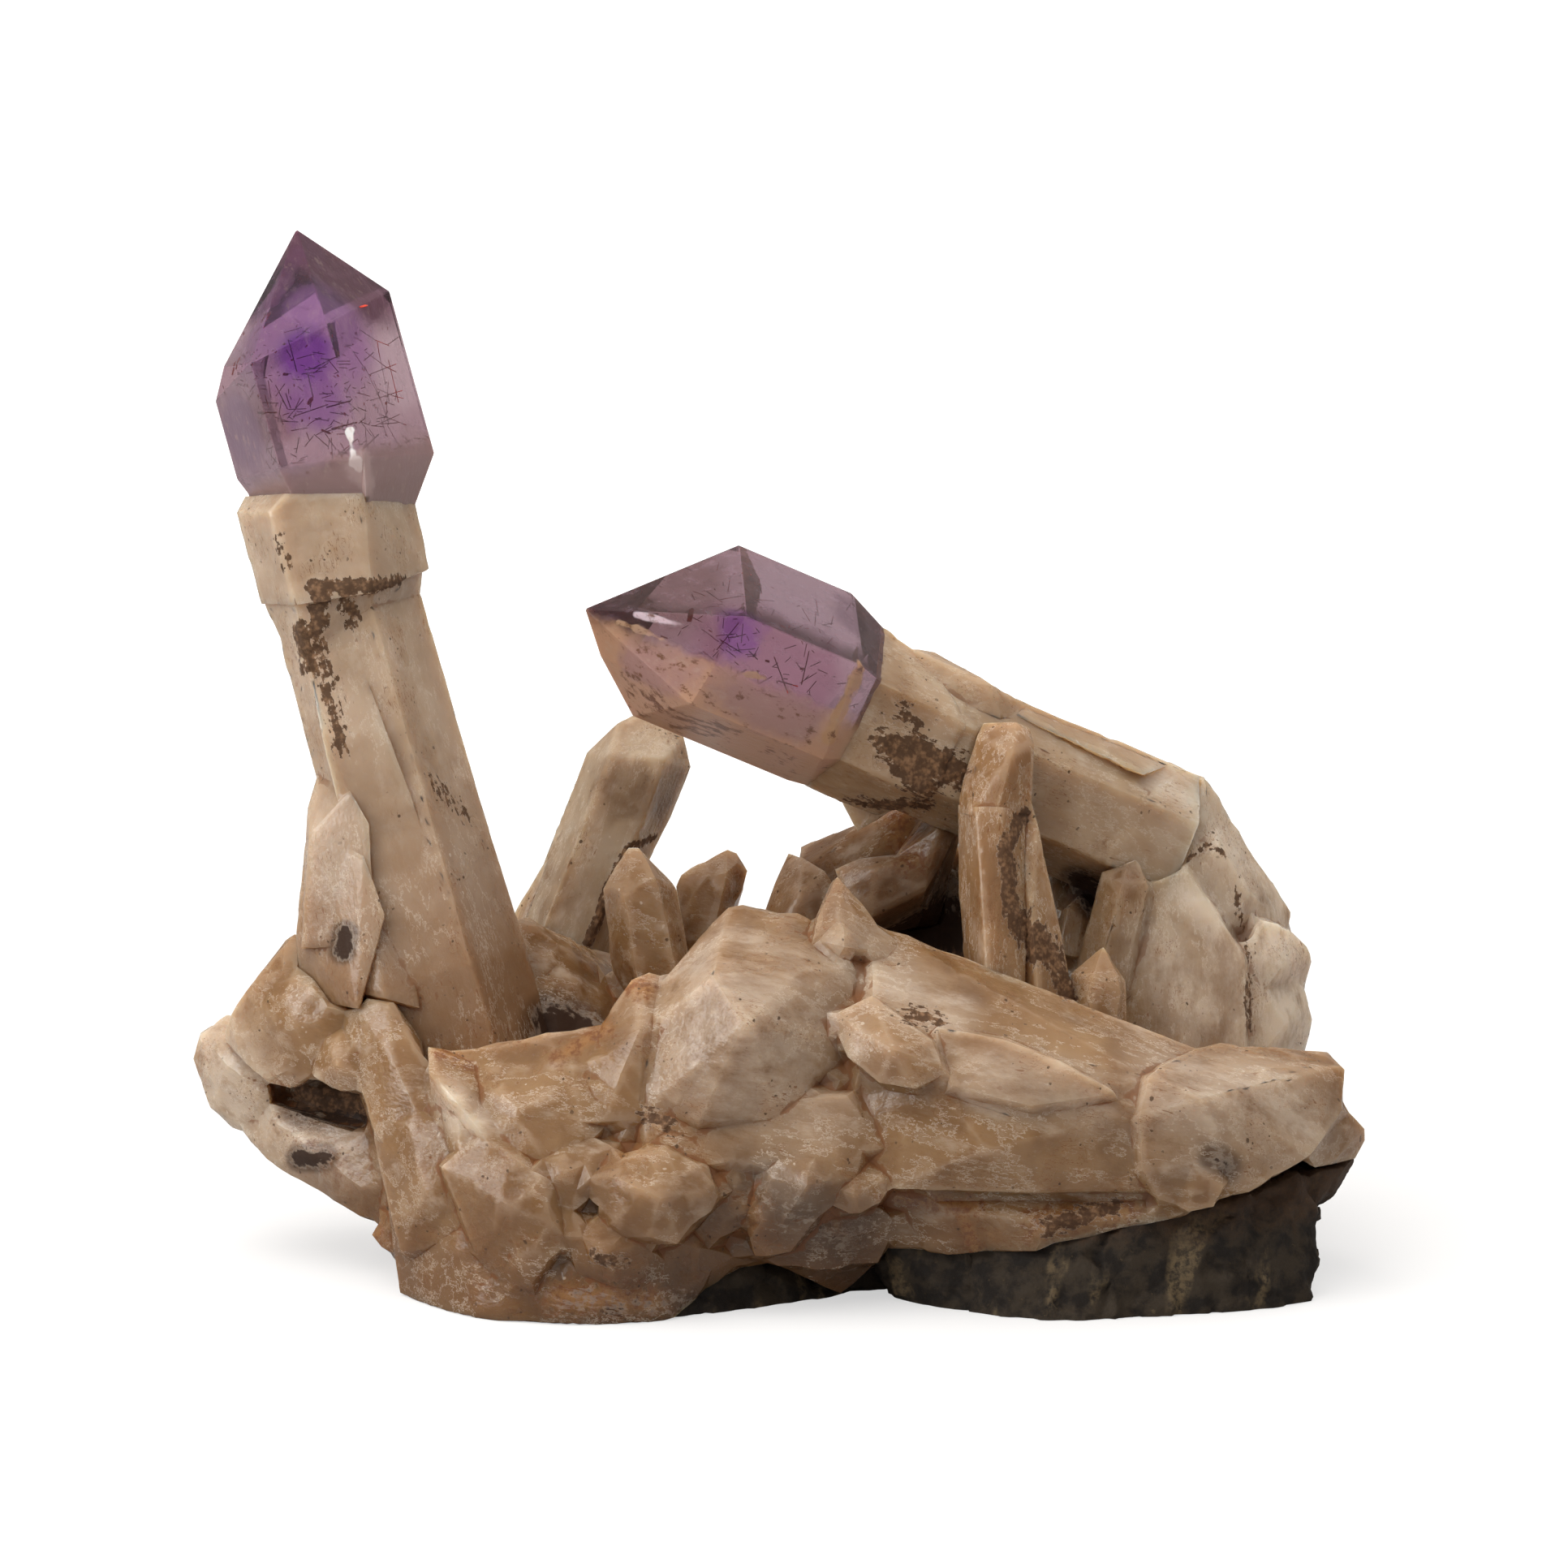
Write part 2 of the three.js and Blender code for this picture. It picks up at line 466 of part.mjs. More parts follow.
// Broad broken face and the plate-like crystals over the foot.
function frontPlates() {
  return [
    lump(
      [-33.9, -37.5, -20.6], [-29.3, -34.7, -22.2], [-23.6, -38.6, -25.2], [-22.1, -45.1, -25.6],
      [-24.9, -49.9, -24.4], [-30.1, -47, -22], [-27.4, -41.6, -25], [-30, -38, -12], [-22, -42, -12],
    ),
    lump(
      [-19.6, -38.5, -24.4], [-17, -37, -24.2], [-12.3, -35.7, -24.6], [-7.7, -38, -25],
      [-6.5, -39.9, -25.4], [-6.5, -41, -25.4], [-10.5, -45.3, -26], [-13.5, -44.7, -26.4],
      [-17, -43.2, -25.8], [-18.2, -41.5, -25], [-12.6, -40.6, -28], [-15.4, -39.4, -27], [-18, -38, -14],
      [-8, -38, -14], [-12, -45, -14],
    ),
    lump(
      [-22.4, -43.4, -24.2], [-17, -42.8, -24.4], [-13, -45.5, -25], [-13.3, -48.3, -24.4],
      [-16.7, -49.2, -25], [-20.1, -47.7, -24.8], [-17.6, -45.8, -26.4], [-20, -43, -12], [-14, -46, -12],
      [-18, -50, -14],
    ),
    lump(
      [-24.8, -35.6, -22.8], [-19.8, -34.4, -22.4], [-16.2, -36, -23.6], [-19.6, -41, -24.6],
      [-23.6, -42.6, -24.4], [-21.6, -38.4, -25.2], [-22, -36, -14], [-18, -40, -14],
    ),
    lump(
      [-24, -42, -23.8], [-20.6, -41.2, -24.4], [-20.4, -44.8, -25.4], [-22.6, -46.6, -25],
      [-24.6, -46, -24.2], [-22, -43, -14],
    ),
  ];
}

// Broken crystals between the hump and the underside.
function lowerCrystals() {
  return [
    lump(
      [-13, -30.4, -22.4], [-1, -31.8, -24], [6.4, -30.6, -23.4], [9.6, -36, -23.6], [5, -36.4, -24.8],
      [-2, -37.6, -24.4], [-8, -38, -23], [-14, -36.4, -23], [-12, -32, -8], [8, -32, -8], [8, -42, -8],
      [-12, -42, -8],
    ),
    lump(
      [8.2, -34.9, -23.6], [5.9, -34.3, -24], [1.5, -36.3, -24.8], [-1.7, -38.7, -24.8],
      [-3.3, -44.3, -23.6], [-2.9, -46.7, -22.8], [0.7, -45.9, -23.2], [3.5, -42.7, -24.2],
      [7.5, -37.9, -24.6], [2.6, -39.4, -26.2], [6, -36, -12], [-2, -40, -12], [0, -46, -12],
    ),
    lump(
      [-7.9, -37, -22], [-4.9, -35.7, -23.4], [-1.5, -38.1, -23.2], [-3.1, -42.9, -22.8],
      [-6.9, -45.3, -22.2], [-8.6, -43.9, -22], [-5.6, -40.4, -24], [-7, -38, -10], [-2, -42, -10],
    ),
    lump(
      [3.6, -40.8, -23.4], [7.5, -37.7, -23.8], [10.3, -39, -23.6], [9.4, -41.3, -24], [7, -42.3, -24.6],
      [6.8, -40.2, -25.4], [5, -40, -12], [10, -40, -12],
    ),
    lump(
      [-5.3, -45.9, -19.4], [-2.1, -47.1, -20], [2.7, -47.5, -20.4], [9.1, -47.1, -18.6],
      [11.4, -42.7, -19.6], [3.5, -41.5, -22.4], [-2.9, -42.5, -22.6], [5, -44.6, -21.8], [-5, -44, -2],
      [10, -42, -2], [9, -48, -6],
    ),
    lump(
      [-0.5, -47.3, -18.6], [5.7, -50.2, -14.2], [8.7, -47.7, -15], [5.9, -46, -18], [2, -45, -10],
      [8, -46, -8],
    ),
    lump(
      [-24.1, -49.5, -23.6], [-17.3, -45.1, -23.4], [-10.9, -45.1, -23], [-5.3, -45.9, -20],
      [-4.9, -47.5, -18.6], [-9.3, -50.7, -20.6], [-13.3, -55, -22.8], [-22.1, -55, -23.8],
      [-17, -50, -24.8], [-22, -44, 2], [-6, -44, 0], [-14, -52, 0], [-23, -52, 2],
    ),
  ];
}

// The long crystal that lies along the front, its lens-shaped lump and its spike.
function lyingCrystal() {
  return [
    lump(
      [8.3, -13.6, -13], [11.7, -16.5, -12], [18, -18.6, -12], [25.1, -20.9, -12], [32, -23.4, -12],
      [40.6, -26.2, -13], [36.4, -29.5, -22], [35, -33.6, -24.4], [20, -29, -25.6], [9, -21, -20.6],
      [7, -25, -21.6], [7, -30, -22.4], [8, -19, -6], [36, -28, -6], [10, -36, -8], [35, -36, -8],
    ),
    lump(
      [7.5, -27.5, -21.6], [14.7, -29.5, -25.4], [35.6, -32, -24], [35.6, -40, -22.6], [25, -40.2, -24],
      [10.3, -39.7, -23.4], [6.7, -34.7, -22.4], [20, -36, -26], [8, -30, -8], [35, -34, -8],
      [35, -40, -8], [8, -39.5, -8],
    ),
    lump(
      [5.1, -22.7, -22], [8.7, -20.9, -21.6], [14.7, -25.3, -25], [15.9, -28.1, -26], [13.1, -30, -26.6],
      [9.5, -29.5, -25.8], [6.3, -26.9, -23.8], [10.8, -26.2, -27], [8, -24, -14], [13, -28, -14],
    ),
    lump(
      [15.2, -24, -22.6], [22, -25.4, -24], [28.4, -28, -25.2], [33, -30.6, -24.8], [24, -32, -26.4],
      [16, -30, -26.4], [20, -24, -14], [30, -30, -14],
    ),
    lump(
      [5.2, -9.1, -14.4], [3.6, -12.5, -15.6], [3, -15.6, -17.4], [6.6, -12.6, -16.4],
      [8.6, -13.4, -14.6], [11.6, -16.8, -15], [6, -16.4, -19], [8, -15, -8], [3.6, -14, -10],
    ),
  ];
}

// Broken end of the long crystal.
function lyingCrystalEnd() {
  return [
    lump(
      [35.8, -28.6, -23.4], [40.6, -26.2, -15], [42.7, -25.9, -13], [53.7, -26.5, -9.6], [55, -27.8, -12],
      [55, -32.1, -13.4], [52, -36.5, -18], [46.8, -39.5, -20.8], [40.2, -42, -21.6],
      [37.1, -41.4, -22.4], [35, -38, -24.4], [34.8, -33, -25], [41, -31, -24.2], [43.4, -37, -23.4],
      [41, -27, 2], [52, -28, 4], [53, -34, 4], [38, -40, 2],
    ),
    lump(
      [54.6, -30.8, -12.4], [56.9, -33.8, -10.4], [57.2, -35, -9.6], [56.2, -36.7, -9.4],
      [52, -37.8, -15.4], [50, -34, -18.8], [50, -31, -4], [53.6, -37.4, 0], [56, -35, -3],
    ),
    lump(
      [38.2, -38.6, -22.6], [41.2, -37.4, -24], [43.6, -39.4, -23.6], [42.6, -41.8, -22.6],
      [39.6, -42.4, -22.4], [41, -40, -14],
    ),
  ];
}

// Shaded quartz under the long crystal.
function shadedQuartz() {
  return [
    lump(
      [9, -39, -19], [35, -39.5, -20.2], [40.4, -42, -20.8], [36.3, -43.1, -20.4], [28.9, -45.3, -20.2],
      [23.8, -47, -20.6], [18.7, -45.6, -19.2], [10.7, -45.5, -18], [16, -42, -21], [27, -43, -22],
      [9, -40, -4], [38, -40, -4], [36, -43, -4], [12, -46, -4],
    ),
  ];
}

// Left lobe: the wedge, the outer knob, the body under the cavity and a tooth.
function leftLobe() {
  return [
    lump(
      [-48.3, -14.6, -3], [-49.4, -16, -4], [-50.8, -17.8, -4], [-53, -20.3, -3], [-54.2, -22.8, -2],
      [-55, -25, -1], [-53.2, -27.1, -3.6], [-51, -29.1, -5.4], [-48.6, -29.9, -7], [-43.4, -27.6, -9.6],
      [-42.9, -21.9, -10], [-44.1, -18.3, -8.6], [-48, -22, -8.6], [-50, -20, 8], [-44, -17, 8],
      [-43, -28, 8], [-52, -27, 7],
    ),
    lump(
      [-54.2, -22.8, 3], [-55.6, -23.7, 2], [-57.4, -24.6, 3], [-57.9, -26.1, 4], [-57.9, -28.1, 4],
      [-57.6, -29.1, 4], [-56.7, -31.4, 3], [-55.1, -32.4, 2], [-53.4, -34.2, 1], [-50.5, -33.1, -2.4],
      [-50.9, -29.9, -2.6], [-54.6, -28, -0.8], [-56, -26, 12], [-55, -33, 12], [-50, -30, 14],
    ),
    lump(
      [-53.4, -34.2, 0.6], [-50.6, -37.1, -1.6], [-47, -38.6, -3], [-43.5, -41.5, -6], [-39.8, -43.2, -8],
      [-38.9, -41.1, -10], [-39.6, -35.2, -9], [-45.3, -34, -4.6], [-50.9, -31.6, -2.4], [-47, -36, -6],
      [-52, -32, 14], [-40, -32, 14], [-40, -41, 12], [-50, -36, 12],
    ),
    lump(
      [-45.7, -25.9, -9], [-43.7, -24.2, -10], [-42.4, -25.9, -11.6], [-40.4, -29.9, -12.6],
      [-43.7, -30.3, -11.6], [-46.5, -28.7, -9.4], [-44, -28, -12.4], [-44, -26, -2], [-40, -30, -2],
    ),
    lump(
      [-39.8, -43, -9], [-40.6, -44.5, -10], [-39.6, -45.8, -10.6], [-38, -46, -11.4],
      [-37.4, -43, -12.6], [-38, -43, -4], [-37.6, -46, -6],
    ),
    lump(
      [-55, -26, 3], [-48, -25, 2], [-41, -27, -3], [-39, -34, -5], [-46, -37, 0], [-53, -33, 3],
      [-54, -26, 13], [-40, -26, 13], [-40, -38, 12], [-52, -34, 13],
    ),
  ];
}

// Mass behind the crystals of the front.
function frontFill() {
  return [
    lump(
      [-31, -32, -18], [-22, -29, -17.4], [-12, -29, -19], [6, -29, -20], [9, -42, -19.6],
      [5, -46, -16.4], [-6, -46, -17.8], [-14, -49, -20.4], [-26, -50, -21], [-31, -42, -18.6],
      [-30, -32, -4], [8, -29, -4], [8, -44, -4], [-28, -48, -4],
    ),
  ];
}

// Crust behind the tall stem and under the pocket.
function rearCrust() {
  return [
    lump(
      [-47.9, -15, -4], [-47, -22, -5], [-44, -27, -7], [-38.9, -30, -10], [-37, -22, -10],
      [-40, -15, -9], [-47, -17, 9], [-36, -16, 10], [-36, -34, 10], [-46, -30, 10],
    ),
    lump(
      [-26.6, -13.2, 3], [-24, -14.4, 3.6], [-17, -20, 5], [-16.6, -25.4, 0], [-25, -26, -3],
      [-27.4, -17, 1], [-24, -14, 15], [-15, -18, 15], [-16, -27, 14], [-28, -27, 12],
    ),
    lump(
      [-16.4, -19.6, 9], [-12, -18.6, 9], [-2, -14.6, 10], [4, -14.4, 10], [6, -20, 2], [-2, -20, -2],
      [-16, -26, -4], [-14, -17, 19], [6, -13, 19], [8, -24, 18], [-16, -26, 18],
    ),
    quartzPoint({ foot: [-12.1, -22.4, 5.6], lean: -11, radius: 3.5, length: 16.6, spin: 6 }),
    lump(
      [-10.3, -9.3, 12], [-8.7, -8.6, 11], [-8.1, -7.8, 11.4], [-5.4, -6.5, 12], [-4.3, -7, 12.6],
      [-3.8, -9.3, 13], [-4.6, -10.9, 12], [-6, -9.4, 9.6], [-7.7, -19, 9], [-10.8, -19, 10],
      [-6, -8, 16], [-9.6, -10, 16], [-5, -13, 16], [-9, -19, 17],
    ),
    lump(
      [8.4, -10.6, 5], [13.4, -10.4, 4.4], [14, -16, 2], [11, -20, -2], [7.6, -15, 0], [8, -12, 10],
      [14, -12, 10], [12, -20, 9],
    ),
    quartzPoint({ foot: [30.8, -25, -7], lean: 2, radius: 2.6, length: 8.8, spin: 12 }),
    backLump(
      [-30, -18, 4], [-30, -12, 19], [-8, -14, 20], [10, -14, 17], [44, -14, 17], [50, -6, 18],
      [48, 6, 20], [36, 13, 21], [12, 15, 20], [-8, 14, 22], [-26, 10, 24], [-36, 4, 22], [-40, -6, 14],
      [-37, -12, 4], [-34, 4, 3], [-22, 12, 4], [-4, 17, 5], [14, 19, 6], [36, 18, 6], [48, 10, 6],
      [51, -6, 7], [46, -16, 6],
    ),
  ];
}

// Points on the hidden back, some upright and some lying back.
function rearPoints() {
  return [
    quartzPoint({ foot: [-21, -21, 20], lean: -20, nod: -38, radius: 4.2, length: 16, spin: 15 }),
    quartzPoint({ foot: [-4, -24, 20], lean: 12, nod: -48, radius: 4.8, length: 15, spin: 35 }),
    quartzPoint({ foot: [10, -24, 20], lean: -8, nod: -34, radius: 4, length: 15.5, spin: 5 }),
    quartzPoint({ foot: [20, -26, 20], lean: 18, nod: -52, radius: 5, length: 14, spin: 22 }),
    quartzPoint({ foot: [38, -27, 16], lean: 24, nod: -44, radius: 4.6, length: 15, spin: 48 }),
    quartzPoint({ foot: [-36, -25, 8], lean: -38, nod: -34, radius: 4.4, length: 13, spin: 30 }),
    quartzPoint({ foot: [2, -30, 22], lean: -30, nod: -62, radius: 3.6, length: 11, spin: 50 }),
    quartzPoint({ foot: [30, -31, 22], lean: 8, nod: -64, radius: 3.8, length: 10, spin: 10 }),
  ];
}

function quartzBase() {
  return [
    ...frontHump(),
    ...basinRim(),
    ...ribbedFoot(),
    ...frontPlates(),
    ...lowerCrystals(),
    ...lyingCrystal(),
    ...lyingCrystalEnd(),
    ...shadedQuartz(),
    ...leftLobe(),
    ...frontFill(),
    ...rearCrust(),
    ...rearPoints(),
  ];
}

// Each sub-part in the order in which sockets are cut: a later one makes room for those before it.
const SUB_PARTS = [
  { name: "tall_head", look: "amethyst", blocks: tallHead(), group: "tall_sceptre" },
  { name: "leaning_head", look: "amethyst", blocks: leaningHead(), group: "leaning_sceptre" },
  { name: "tall_stem", look: "milky", blocks: tallStem(), group: "tall_sceptre" },
  { name: "pillar_crystal", look: "milky", blocks: pillarCrystal(), group: "cluster" },
  { name: "leaning_stem", look: "milky", blocks: leaningStem(), group: "leaning_sceptre" },
  { name: "back_crystal", look: "milky", blocks: backCrystal(), group: "cluster" },
  { name: "slanted_crystal", look: "smoky", blocks: slantedCrystal(), group: "cluster" },
  { name: "crystal_wall", look: "milky", blocks: crystalWall(), group: "cluster" },
  { name: "matrix_rock", look: "rock", blocks: matrixRock(), group: "cluster" },
  { name: "quartz_base", look: "milky", blocks: quartzBase(), group: "cluster" },
];

function belowTable() {
  const box = new THREE.BoxGeometry(TABLE_CUT_WIDTH, TABLE_CUT_WIDTH, TABLE_CUT_DEPTH);
  box.translate(0, 0, -TABLE_CUT_DEPTH / 2);
  return geometryToSolid(box);
}

// The sub-part's mesh, with its geometry about its own middle and its place in its position.
function meshOf(name, look, solid) {
  const { vertProperties, triVerts } = solid.getMesh();
  const geometry = new THREE.BufferGeometry();
  geometry.setAttribute("position", new THREE.BufferAttribute(new Float32Array(vertProperties), 3));
  geometry.setIndex(new THREE.BufferAttribute(new Uint32Array(triVerts), 1));
  geometry.computeBoundingBox();
  const middle = geometry.boundingBox.getCenter(new THREE.Vector3());
  geometry.translate(-middle.x, -middle.y, -middle.z);
  geometry.computeVertexNormals();
  const material = new THREE.MeshStandardMaterial({ ...COLOURS[look], metalness: 0, flatShading: true });
  const mesh = new THREE.Mesh(geometry, material);
  mesh.name = name;
  mesh.position.copy(middle);
  return mesh;
}

function buildSpecimen() {
  const specimen = new THREE.Group();
  const groups = {};
  const sockets = [];
  const table = belowTable();
  for (const { name, look, blocks, group } of SUB_PARTS) {
    const whole = joined(blocks.map(blockSolid)).subtract(table);
    const cut = sockets.reduce((solid, hole) => solid.subtract(hole), whole);
    if (!groups[group]) {
      groups[group] = new THREE.Group();
      specimen.add(groups[group]);
    }
    groups[group].add(meshOf(name, look, largestPiece(cut)));
    sockets.push(...blocks.map(socket));
  }
  // The origin is the middle of the object's footprint, on the table
  const box = new THREE.Box3().setFromObject(specimen);
  const centre = box.getCenter(new THREE.Vector3());
  specimen.position.set(-centre.x, -centre.y, -box.min.z);
  return specimen;
}

export default buildSpecimen();
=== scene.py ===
"""Amethyst sceptre specimen: the natural surface and finish of every crystal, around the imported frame."""

import logging
import math
from contextlib import contextmanager
from dataclasses import dataclass, replace
from enum import Enum
from typing import ClassVar, Iterable, Iterator, Optional, Sequence, Union

import bmesh
import bpy
import numpy as np
from mathutils import Euler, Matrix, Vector


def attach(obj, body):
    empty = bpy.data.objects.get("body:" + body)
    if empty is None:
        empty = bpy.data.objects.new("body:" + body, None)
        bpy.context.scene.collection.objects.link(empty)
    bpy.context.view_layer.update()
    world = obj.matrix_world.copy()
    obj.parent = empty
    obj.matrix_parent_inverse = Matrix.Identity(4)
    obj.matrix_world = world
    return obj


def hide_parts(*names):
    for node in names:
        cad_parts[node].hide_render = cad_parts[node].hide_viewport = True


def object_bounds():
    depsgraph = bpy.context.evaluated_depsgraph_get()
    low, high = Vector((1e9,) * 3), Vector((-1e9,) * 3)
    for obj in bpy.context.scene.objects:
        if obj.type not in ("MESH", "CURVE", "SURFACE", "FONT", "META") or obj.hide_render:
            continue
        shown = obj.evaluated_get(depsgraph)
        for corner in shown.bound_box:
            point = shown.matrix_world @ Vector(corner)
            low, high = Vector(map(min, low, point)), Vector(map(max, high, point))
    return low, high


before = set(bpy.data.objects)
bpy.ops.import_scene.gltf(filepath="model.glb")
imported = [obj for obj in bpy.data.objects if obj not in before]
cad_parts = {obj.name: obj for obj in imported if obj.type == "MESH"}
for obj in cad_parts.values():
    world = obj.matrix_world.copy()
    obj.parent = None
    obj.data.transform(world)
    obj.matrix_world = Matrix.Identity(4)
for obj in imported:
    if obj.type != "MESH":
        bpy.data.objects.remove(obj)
CAD_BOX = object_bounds()

LOG = logging.getLogger("specimen")
MM = 0.001
ROOT = "root"
QUARTZ_IOR = 1.544
WHITE = (1.0, 1.0, 1.0)

Triple = tuple[float, float, float]
Key = Union[str, int]
Operand = Union["Wire", float, int, Triple]
Inputs = dict[Key, Operand]
Limits = tuple[float, float]


class Wire:
    """One output of a node tree. Arithmetic on it adds the Math nodes that it needs."""

    def __init__(self, sheet: "Sheet", socket: bpy.types.NodeSocket) -> None:
        """Wraps a socket of the sheet's tree."""
        self.sheet, self.socket = sheet, socket

    def __add__(self, other: Operand) -> "Wire":
        """Returns self + other."""
        return self.sheet.combine("ADD", self, other)

    def __radd__(self, other: Operand) -> "Wire":
        """Returns other + self."""
        return self.sheet.combine("ADD", other, self)

    def __sub__(self, other: Operand) -> "Wire":
        """Returns self - other."""
        return self.sheet.combine("SUBTRACT", self, other)

    def __rsub__(self, other: Operand) -> "Wire":
        """Returns other - self."""
        return self.sheet.combine("SUBTRACT", other, self)

    def __mul__(self, other: Operand) -> "Wire":
        """Returns self * other."""
        return self.sheet.combine("MULTIPLY", self, other)

    def __rmul__(self, other: Operand) -> "Wire":
        """Returns other * self."""
        return self.sheet.combine("MULTIPLY", other, self)

    def __truediv__(self, other: Operand) -> "Wire":
        """Returns self / other."""
        return self.sheet.combine("DIVIDE", self, other)


class Sheet:
    """A node tree that is written as expressions. It serves materials and Geometry Nodes alike."""

    def __init__(self, tree: bpy.types.NodeTree) -> None:
        """Takes the tree to write on."""
        self.tree = tree

    def node(self, kind: str, inputs: Optional[Inputs] = None, **settings: object) -> bpy.types.Node:
        """Adds a node.

        Args:
            kind: The node's type name.
            inputs: Values or links of the sockets, by name or place.
            settings: The node's properties, which are set before the sockets.

        Returns:
            The new node.
        """
        node = self.tree.nodes.new(kind)
        for name, value in settings.items():
            setattr(node, name, value)
        for key, value in (inputs or {}).items():
            self.feed(self.socket_of(node, key), value)
        return node

    def wire(self, kind: str, inputs: Optional[Inputs] = None, output: Key = 0, **settings: object) -> Wire:
        """Adds a node as node does, and returns the wire of one of its outputs."""
        return self.out(self.node(kind, inputs, **settings), output)

    @staticmethod
    def socket_of(node: bpy.types.Node, key: Key) -> bpy.types.NodeSocket:
        """Returns the input with that name or place, among those in use."""
        named = (socket for socket in node.inputs if socket.name == key and socket.enabled)
        return node.inputs[key] if isinstance(key, int) else next(named)

    def feed(self, socket: bpy.types.NodeSocket, value: Operand) -> None:
        """Links or sets an input.

        Args:
            socket: The input.
            value: A wire to link, or a constant.
        """
        if isinstance(value, Wire):
            self.tree.links.new(value.socket, socket)
        elif isinstance(value, tuple) and socket.type == "RGBA":
            socket.default_value = (*value, 1.0)[:4]
        elif isinstance(value, (int, float)) and socket.type in {"VECTOR", "RGBA"}:
            socket.default_value = [value] * len(socket.default_value)
        else:
            socket.default_value = value

    def out(self, node: bpy.types.Node, key: Key = 0) -> Wire:
        """Returns the wire of a node's output with that name or place."""
        named = (socket for socket in node.outputs if socket.name == key and socket.enabled)
        return Wire(self, node.outputs[key] if isinstance(key, int) else next(named))

    @staticmethod
    def is_vector(value: Operand) -> bool:
        """Tells whether a value has three numbers."""
        wired = isinstance(value, Wire)
        return value.socket.type in {"VECTOR", "RGBA"} if wired else isinstance(value, tuple)

    def combine(self, operation: str, first: Operand, second: Operand) -> Wire:
        """Returns the result of a Math node, or of a Vector Math node if either operand is a vector."""
        kind = "ShaderNodeVectorMath" if self.is_vector(first) or self.is_vector(second) else "ShaderNodeMath"
        return self.wire(kind, {0: first, 1: second}, operation=operation)

    def greater(self, first: Operand, second: Operand) -> Wire:
        """Returns the larger of two numbers."""
        return self.combine("MAXIMUM", first, second)

    def gap(self, value: Wire, middle: float) -> Wire:
        """Returns how far a number is from a middle value."""
        return self.wire("ShaderNodeMath", {0: value - middle}, operation="ABSOLUTE")

    def dot(self, first: Operand, second: Operand) -> Wire:
        """Returns the dot product of two vectors."""
        return self.wire("ShaderNodeVectorMath", {0: first, 1: second}, "Value", operation="DOT_PRODUCT")

    def length(self, vector: Operand) -> Wire:
        """Returns the length of a vector."""
        return self.wire("ShaderNodeVectorMath", {0: vector}, "Value", operation="LENGTH")

    def scaled(self, vector: Operand, factor: Operand) -> Wire:
        """Returns a vector times a number."""
        return self.wire("ShaderNodeVectorMath", {0: vector, "Scale": factor}, operation="SCALE")

    def height_of(self, place: Wire) -> Wire:
        """Returns the last number of a place."""
        return self.wire("ShaderNodeSeparateXYZ", {0: place}, "Z")

    def ease(self, value: Operand, low: float, high: float) -> Wire:
        """Gives a smooth step.

        Args:
            value: The number that is judged.
            low: Where the step is 0. It may be above high, for a step that falls.
            high: Where it is 1.

        Returns:
            A number from 0 to 1.
        """
        (start, first), (end, last) = sorted([(low, 0.0), (high, 1.0)])
        inputs = {"Value": value, "From Min": start, "From Max": end, "To Min": first, "To Max": last}
        return self.wire("ShaderNodeMapRange", inputs, interpolation_type="SMOOTHSTEP", clamp=True)

    def clamped(self, value: Operand) -> Wire:
        """Returns a number kept between 0 and 1."""
        return self.wire("ShaderNodeClamp", {"Value": value})

    def blend(self, factor: Operand, first: Operand, second: Operand, kind: str = "RGBA") -> Wire:
        """Returns the mix of two colours, or of numbers of another kind. factor is the second one's share."""
        inputs = {"Factor": factor, "A": first, "B": second}
        return self.wire("ShaderNodeMix", inputs, "Result", data_type=kind)

    def layered(self, colour: Operand, *layers: tuple[Operand, Operand]) -> Wire:
        """Lays colours over one another.

        Args:
            colour: The lowest one.
            layers: The share and the colour of each next one.

        Returns:
            The colour that is seen.
        """
        for share, over in layers:
            colour = self.blend(share, colour, over)
        return colour

    def noise(self, place: Operand, size: float, detail: float = 3.0, roughness: float = 0.5) -> Wire:
        """Returns a pattern of clouds from 0 to 1. The place and the clouds' size are in millimetres."""
        inputs = {"Vector": place, "Scale": 1.0 / size, "Detail": detail, "Roughness": roughness}
        return self.wire("ShaderNodeTexNoise", inputs)

    def swirl(self, place: Operand, size: float, detail: float = 2.0) -> Wire:
        """Returns a pattern of vectors with its middle at 0, for a place and size as noise takes them."""
        inputs = {"Vector": place, "Scale": 1.0 / size, "Detail": detail}
        return self.wire("ShaderNodeTexNoise", inputs, 1) - (0.5, 0.5, 0.5)

    def cells(self, place: Operand, size: float, smoothness: float = 0.0) -> bpy.types.Node:
        """Returns a Voronoi node with cells of that size, in millimetres, and smooth borders if asked for."""
        inputs = {"Vector": place, "Scale": 1.0 / size, **({"Smoothness": smoothness} if smoothness else {})}
        return self.node("ShaderNodeTexVoronoi", inputs, feature="SMOOTH_F1" if smoothness else "F1")

    def stretched(self, place: Wire, axis: Operand, ratio: float) -> Wire:
        """Returns the place pressed together along a unit axis, which makes patterns ratio times longer."""
        return place - self.scaled(axis, self.dot(place, axis) * (1.0 - 1.0 / ratio))

    def bump(self, height: Operand, strength: float, depth: float) -> Wire:
        """Returns the normal of a relief that is so many millimetres deep."""
        return self.wire("ShaderNodeBump", {"Height": height, "Strength": strength, "Distance": depth * MM})

    def principled(self, inputs: Inputs) -> Wire:
        """Returns a Principled shader."""
        return self.wire("ShaderNodeBsdfPrincipled", inputs, "BSDF")


